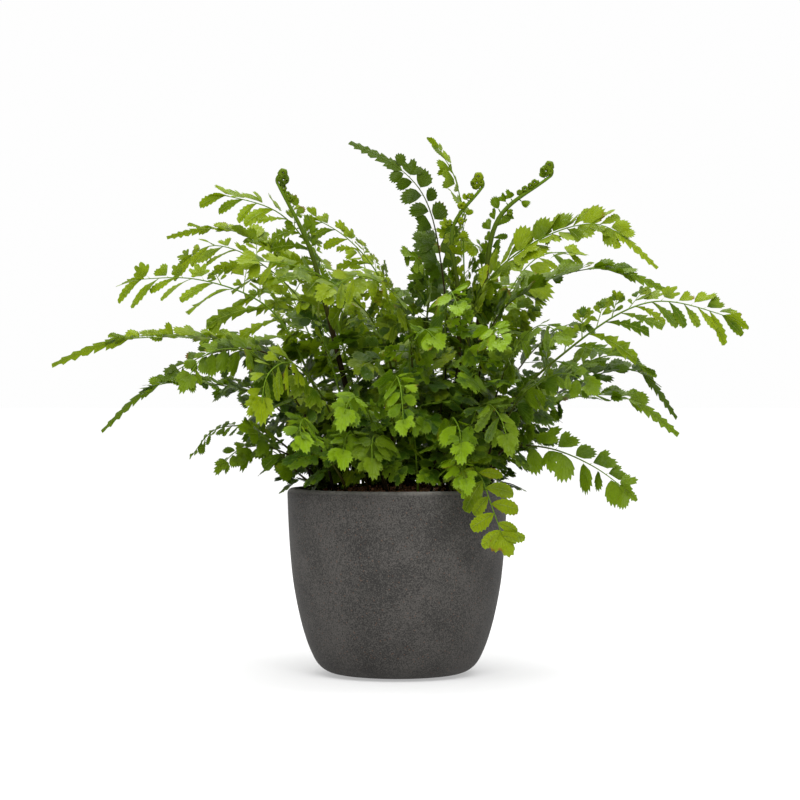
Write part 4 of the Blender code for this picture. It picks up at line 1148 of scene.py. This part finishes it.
def growTip(shape, route, draw, growth):
    spec = frondSpec
    manner = manners[route.row.manner]
    _, side, _, _ = route.at(route.length - 1.0)
    length = tipLength(route.row)
    centre, _, _, _ = route.at(route.length - length)
    along = (route.line[-1] - centre).normalized()
    across = rotated(squared(side, along), math.radians(manner["twist"]), along)
    sag = manner["sag"][2] * spec["tipSag"]
    blade = Blade(centre, along, across, along.cross(across), length, sag, 0.0, spec["tipCup"],
                  spec["tipRipple"], draw.uniform(*anyAngle))
    addLeaf(shape, blade, manner["tip"], manner["tipShade"], growth, draw)


def growStrip(shape, route, growth):
    # The narrow lobed end of a frond, along its route, where the last leaflets haven't parted
    kind = ribbedKinds["strip"]
    length = tipLength(route.row)
    twist = math.radians(manners[route.row.manner]["twist"])
    rows = []
    count = kind["teeth"] * 2
    for number in range(count + 1):
        t = number / count
        left = length * (1 - t)
        centre, side, _, ahead = route.at(route.length - left)
        side = rotated(side, twist, ahead)
        half = halfWidth(kind, t) * length * (1 + kind["tooth"] if number % 2 else 1 - kind["tooth"])
        half += kind["least"]
        row = []
        for column in (-1.0, -0.5, 0.0, 0.5, 1.0):
            far = abs(column)
            drop = half * kind["fold"] * far * far + kind["sag"] * length * t * t
            lean = min(kind["lean"] * half * far ** ribbedSpec["edgeLean"], left)
            point = centre + side * half * column - up * drop + ahead * lean
            row.append(shape.addPoint(point, (far, veinAt(kind, t, far), kind["shade"]), growth))
        rows.append(row)
    shape.joinRows(rows, True)


# Small side pinnae on the part of the stem below the frond's own leaflets: closest near the soil
spraySpec = {
    "first": 0.8,
    "firstInFront": 17.0,
    "frontFrom": -15.0,
    "start": (0, 3),
    "spacing": (4.0, 10.5),
    "spacingVary": (0.8, 1.25),
    "top": 255.0,
    "turn": (-65, 65),
    "lean": (8, 48),
    "upward": 0.8,
    "outward": 0.7,
    "stray": 0.35,
    "length": (1.12, 1.50),
    "longest": 19.0,
    "lengthRise": 1.8,
    "lengthVary": (0.8, 1.2),
    "bends": ((0.1, 0.4), (-0.12, 0.12), (-0.6, 0.1), (0.015, 0.04), anyAngle),
    "leaves": ("ovate", "fan", "ternate", "split"),
    # Lower than the leaflets' shades: painted shade for the inner foliage, partly older leaves
    "shades": (-0.25, 0.85),
}


def growSprays(shape, route, draw, growth):
    # Their blades turn up and outwards to the light, whichever way the stem leans
    spec = spraySpec
    first = spec["firstInFront" if route.row.root[1] < spec["frontFrom"] else "first"]
    distance = frondSpec["footDepth"] + first + draw.uniform(*spec["start"])
    hand = draw.choice((-1, 1))
    while distance < route.bare:
        centre, side, _, ahead = route.at(distance)
        height = (centre.z - soilSpec["edge"]) / (spec["top"] - soilSpec["edge"])
        turned = rotated(side, math.radians(draw.uniform(*spec["turn"])), ahead) * hand
        lean = math.radians(draw.uniform(*spec["lean"]))
        along = (turned * math.cos(lean) + ahead * math.sin(lean)).normalized()
        away = Vector((centre.x, centre.y, 0.0)).normalized()
        stray = Vector([draw.gauss(0, spec["stray"]) for _ in range(3)])
        normal = squared(up * spec["upward"] + away * spec["outward"] + stray, along)
        length = spec["longest"] * between(spec["length"], min(1.0, max(0.0, height) * spec["lengthRise"]))
        length *= draw.uniform(*spec["lengthVary"])
        blade = Blade(centre, along, normal.cross(along), normal, length, *drawBends(draw, spec))
        addCompound(shape, blade, spec["leaves"], spec["shades"], growth, draw)
        distance += between(spec["spacing"], max(0.0, height)) * draw.uniform(*spec["spacingVary"])
        hand = -hand


# Croziers: how a tip rolls up, the knobs of rolled leaflets in its coil, and below it the buds on their
# stalks, which open into small leaves lower down
crozierSpec = {
    "turns": 1.3,
    "steps": 26,
    "radius": (3.9, 1.4),
    "stem": (0.95, 0.55),
    "leafletsEnd": 36.0,
    "knob": 1.7,
    "knobTurns": 1.3,
    "knobSteps": 14,
    "knobSides": 6,
    "knobTighter": 0.62,
    "knobThick": (0.616, 0.448),
    "knobWidth": 1.5,
    "knobFolds": (0.9, 1.15),
    "knobEvery": 5,
    "knobFrom": 3,
    "knobInside": 0.62,
    "knobAside": 0.5,
    "knobSeat": 0.6,
    "knobVary": (0.7, 0.95),
    "knobShades": (0.1, 0.7),
    "endKnob": 1.35,
    "endShade": 0.6,
    "budLength": 38.0,
    "budFirst": 3.5,
    "budSpacing": 3.5,
    "budVary": (0.75, 1.3),
    "budSides": (1, 1, 1, 1, -1),
    "budStray": (-0.5, 0.5),
    "budLean": (0.0, 0.6),
    "budOpen": (0.25, 0.7),  # share of open buds at the coil, and how much more lower down
    "budReach": (1.0, 2.4),
    "budReachVary": (0.7, 1.2),
    "budStem": (0.42, 0.36),
    "budKnobVary": (0.8, 1.15),
    "budShades": (0.4, 1.0),
    "budTwist": (-0.6, 0.6),
    "budLeaf": (3.8, 5.6),
    "budLeafMore": 3.4,
    "budRoot": 0.3,
    "budSag": -0.05,
    "budSickle": (-0.1, 0.2),
    "budCup": -1.6,
    "budRipple": 0.04,
    "budLeaves": ("ternate", "ovate", "split"),
}


def addKnob(shape, centre, stalk, side, size, growth, shade):
    # A leaflet that is still rolled up like a watch spring, on a short stalk
    spec = crozierSpec
    axis = stalk.cross(side).normalized()
    rings = []
    for step in range(spec["knobSteps"] + 1):
        share = step / spec["knobSteps"]
        outward = rotated(side, 2 * math.pi * spec["knobTurns"] * share, axis)
        middle = centre - side * size + outward * (size * (1 - spec["knobTighter"] * share))
        thick = size * between(spec["knobThick"], share) * spec["knobFolds"][step % 2]
        ring = []
        for angle in around(spec["knobSides"]):
            point = middle + (outward * math.cos(angle) + axis * spec["knobWidth"] * math.sin(angle)) * thick
            ring.append(shape.addPoint(point, (0.6, share * 4, shade), growth))
        rings.append(ring)
    shape.joinRings(rings)


def growBud(shape, centre, stalk, axis, ahead, share, growth, draw):
    # A young leaflet on its stalk: a knob near the rolled tip, opened into a small leaf lower down
    spec = crozierSpec
    near, far = spec["budReach"]
    end = centre + stalk * (near + far * share * draw.uniform(*spec["budReachVary"]))
    top = stalk.cross(axis).normalized()
    stations = [(place, axis, top, radius, growth) for place, radius in zip((centre, end), spec["budStem"])]
    addTube(shape, stations)
    fewest, more = spec["budOpen"]
    if draw.random() > fewest + share * more:
        size = spec["knob"] * draw.uniform(*spec["budKnobVary"])
        addKnob(shape, end + stalk * spec["knob"] * spec["knobSeat"], stalk, ahead, size, growth,
                draw.uniform(*spec["budShades"]))
    else:
        across = rotated(squared(ahead, stalk), draw.uniform(*spec["budTwist"]), stalk)
        length = draw.uniform(*spec["budLeaf"]) + spec["budLeafMore"] * share
        blade = Blade(end - stalk * spec["budRoot"], stalk, across, stalk.cross(across), length,
                      spec["budSag"], draw.uniform(*spec["budSickle"]), spec["budCup"], spec["budRipple"],
                      draw.uniform(*anyAngle))
        addLeaf(shape, blade, draw.choice(spec["budLeaves"]), draw.uniform(*spec["budShades"]), growth, draw)


def growCrozier(shape, route, draw, growth):
    # The rolled tip, and young leaflets on the side it rolls to
    spec = crozierSpec
    centre, _, _, ahead = route.at(route.length)
    front = Vector((0.0, -1.0, 0.0))
    inward = (ahead.cross(front) if route.row.tip[0] < 0 else front.cross(ahead)).normalized()
    axis = ahead.cross(inward)
    stations = []
    for step in range(spec["steps"] + 1):
        share = step / spec["steps"]
        angle = 2 * math.pi * spec["turns"] * share
        outward = rotated(inward, angle, axis)
        forward = rotated(ahead, angle, axis)
        reach = between(spec["radius"], share)
        place = centre + inward * spec["radius"][0] - outward * reach
        stations.append((place, outward, axis, between(spec["stem"], share), growth))
        if step > spec["knobFrom"] and step % spec["knobEvery"] == 0:
            for lean in (-1, 1):
                along = (outward + axis * lean * spec["knobAside"]).normalized()
                size = spec["knob"] * draw.uniform(*spec["knobVary"])
                addKnob(shape, place + along * reach * spec["knobInside"], along, forward, size, growth,
                        draw.uniform(*spec["knobShades"]))
    addTube(shape, stations)
    addKnob(shape, place + forward * spec["knobSeat"], forward, outward, spec["knob"] * spec["endKnob"],
            growth, spec["endShade"])
    distance = route.length - spec["budFirst"]
    while distance > route.length - spec["budLength"]:
        centre, _, _, ahead = route.at(distance)
        share = (route.length - distance) / spec["budLength"]
        stalk = squared(inward, ahead) * draw.choice(spec["budSides"])
        stalk += axis * draw.uniform(*spec["budStray"]) + ahead * draw.uniform(*spec["budLean"])
        growBud(shape, centre, stalk.normalized(), axis, ahead, share, growth, draw)
        distance -= spec["budSpacing"] * draw.uniform(*spec["budVary"])


def growFrond(number, row):
    spec = frondSpec
    draw = random.Random(number * 101 + spec["seed"])
    route = Route(row)
    shape = Shape()
    rolled = row.name.startswith("crozier")
    green = spec["greenFrom"]["crozier" if rolled else row.tint] + draw.uniform(*spec["greenVary"])
    own = draw.random()
    growStem(shape, route, (0.0, green, own),
             route.length - (0.0 if rolled else tipLength(row) * spec["stemIntoTip"]))
    # The sprays have the painted shade of the foot, each leaflet that of its place, and the end that of the
    # tip
    growSprays(shape, route, draw, (0.05, green, own))
    clear = max(row.leaf * spec["clearOfTip"], spec["strips"].get(row.name, 0.0) * spec["clearOfStrip"])
    end = route.length - (crozierSpec["leafletsEnd"] if rolled else clear)
    distance = route.bare
    right = draw.random() < 0.5
    while distance < end:
        share = (distance - route.bare) / (route.length - route.bare)
        growLeaflet(shape, route, distance, share, right, draw, (share, green, own))
        spacing = row.leaf * between(manners[row.manner]["spacing"], share) / 2
        distance += spacing * draw.uniform(*spec["spacingVary"])
        right = not right
    if rolled:
        growCrozier(shape, route, draw, (0.9, green, own))
    elif row.name in spec["strips"]:
        growStrip(shape, route, (1.0, green, own))
    else:
        growTip(shape, route, draw, (1.0, green, own))
    makePiece("fern_" + row.name, shape, [leafSkins[row.tint], stemSkin], "frond_" + row.name)
    return sum(len(face) - 2 for face in shape.faces)


total = 0
for number, values in enumerate(frondRows):
    total += growFrond(number, Frond(*values))
print("fronds:", len(frondRows), "with", total, "triangles")


# Studio: a white room with a dimmer ceiling, a soft lamp high in front, a weaker one above and a little
# behind, and a wide soft sun that leans in from behind
stageSpec = {
    "cameraPlace": (1.7, -1410.0, 162.0),
    "lens": 107.0,
    "sensor": 36.0,
    "walls": 0.99,
    "ceiling": 0.35,
    "ceilingFrom": (0.20, 0.45),
    "skyStrength": 1.95,
    "skyAngle": 130.0,
    "skyTilt": -16.0,
    "floor": "#AAAAAA",
    # The floor's own painted glow, near the pot and far from it
    "floorGlow": (0.40, 0.62),
    "floorFade": (500.0, 3000.0),
    "floorSize": 90000.0,
    "floorDrop": 0.3,
    "floorRoughness": 0.9,
    "aim": (0.0, 0.0, 170.0),
    # Name, place, size and power
    "lights": (
        ("keyLight", (80.0, -1400.0, 1500.0), 1200.0, 42.0),
        ("topLight", (60.0, 450.0, 1700.0), 1100.0, 27.0),
    ),
}


def makeRoom():
    # White walls and a dimmer ceiling, so that the lamps above model the leaves
    spec = stageSpec
    world = bpy.data.worlds.new("whiteRoom")
    bpy.context.scene.world = world
    world.use_nodes = True
    tree = world.node_tree
    aim = addNode(tree, "TexCoord", []).outputs["Generated"]
    height = addNode(tree, "SeparateXYZ", [aim]).outputs["Z"]
    strength = addNode(tree, "MapRange", [height, *spec["ceilingFrom"], spec["walls"], spec["ceiling"]])
    feed(tree, tree.nodes["Background"], {"Color": white, "Strength": strength})


def makeFloor():
    # Painted light: a grey floor that glows by itself with no lamp below it, less so round the pot where the
    # lamps are brightest
    spec = stageSpec
    half = spec["floorSize"] / 2 * mm
    level = -spec["floorDrop"] * mm
    mesh = bpy.data.meshes.new("studioFloor")
    mesh.from_pydata([(x * half, y * half, level) for x, y in ((-1, -1), (1, -1), (1, 1), (-1, 1))], [],
                     [(0, 1, 2, 3)])
    material, tree, shader, place = startMaterial("selfGlowingFloor")
    reach = addNode(tree, "VectorMath", [place], operation="LENGTH")
    # Painted light: the floor's own glow, dimmer near the pot
    glow = addNode(tree, "MapRange", [reach, *[end * mm for end in spec["floorFade"]], *spec["floorGlow"]])
    feed(tree, shader, {"Base Color": linear(spec["floor"]), "Roughness": spec["floorRoughness"],
                        "Specular IOR Level": 0.0, "Emission Color": white, "Emission Strength": glow})
    mesh.materials.append(material)
    floor = addObject("studioFloor", mesh)


def makeLights():
    spec = stageSpec
    for name, place, size, power in spec["lights"]:
        lamp = bpy.data.lights.new(name, "AREA")
        lamp.size = size * mm
        lamp.energy = power
        light = addObject(name, lamp)
        light.location = Vector(place) * mm
        aim = (Vector(spec["aim"]) - Vector(place)) * mm
        light.rotation_euler = aim.to_track_quat("-Z", "Y").to_euler()
    sun = bpy.data.lights.new("ceiling", "SUN")
    sun.energy = spec["skyStrength"]
    sun.angle = math.radians(spec["skyAngle"])
    ceiling = addObject("ceiling", sun)
    ceiling.rotation_euler = (math.radians(spec["skyTilt"]), 0.0, 0.0)


def makeCamera():
    spec = stageSpec
    lens = bpy.data.cameras.new("photoCamera")
    lens.lens = spec["lens"]
    lens.sensor_width = spec["sensor"]
    camera = addObject("photoCamera", lens)
    camera.location = Vector(spec["cameraPlace"]) * mm
    camera.rotation_euler = (math.radians(90), 0.0, 0.0)
    bpy.context.scene.camera = camera
    bpy.context.scene.view_settings.view_transform = "Standard"


makeRoom()
makeFloor()
makeLights()
makeCamera()
print("stage: camera, lights and floor")

bpy.context.view_layer.update()
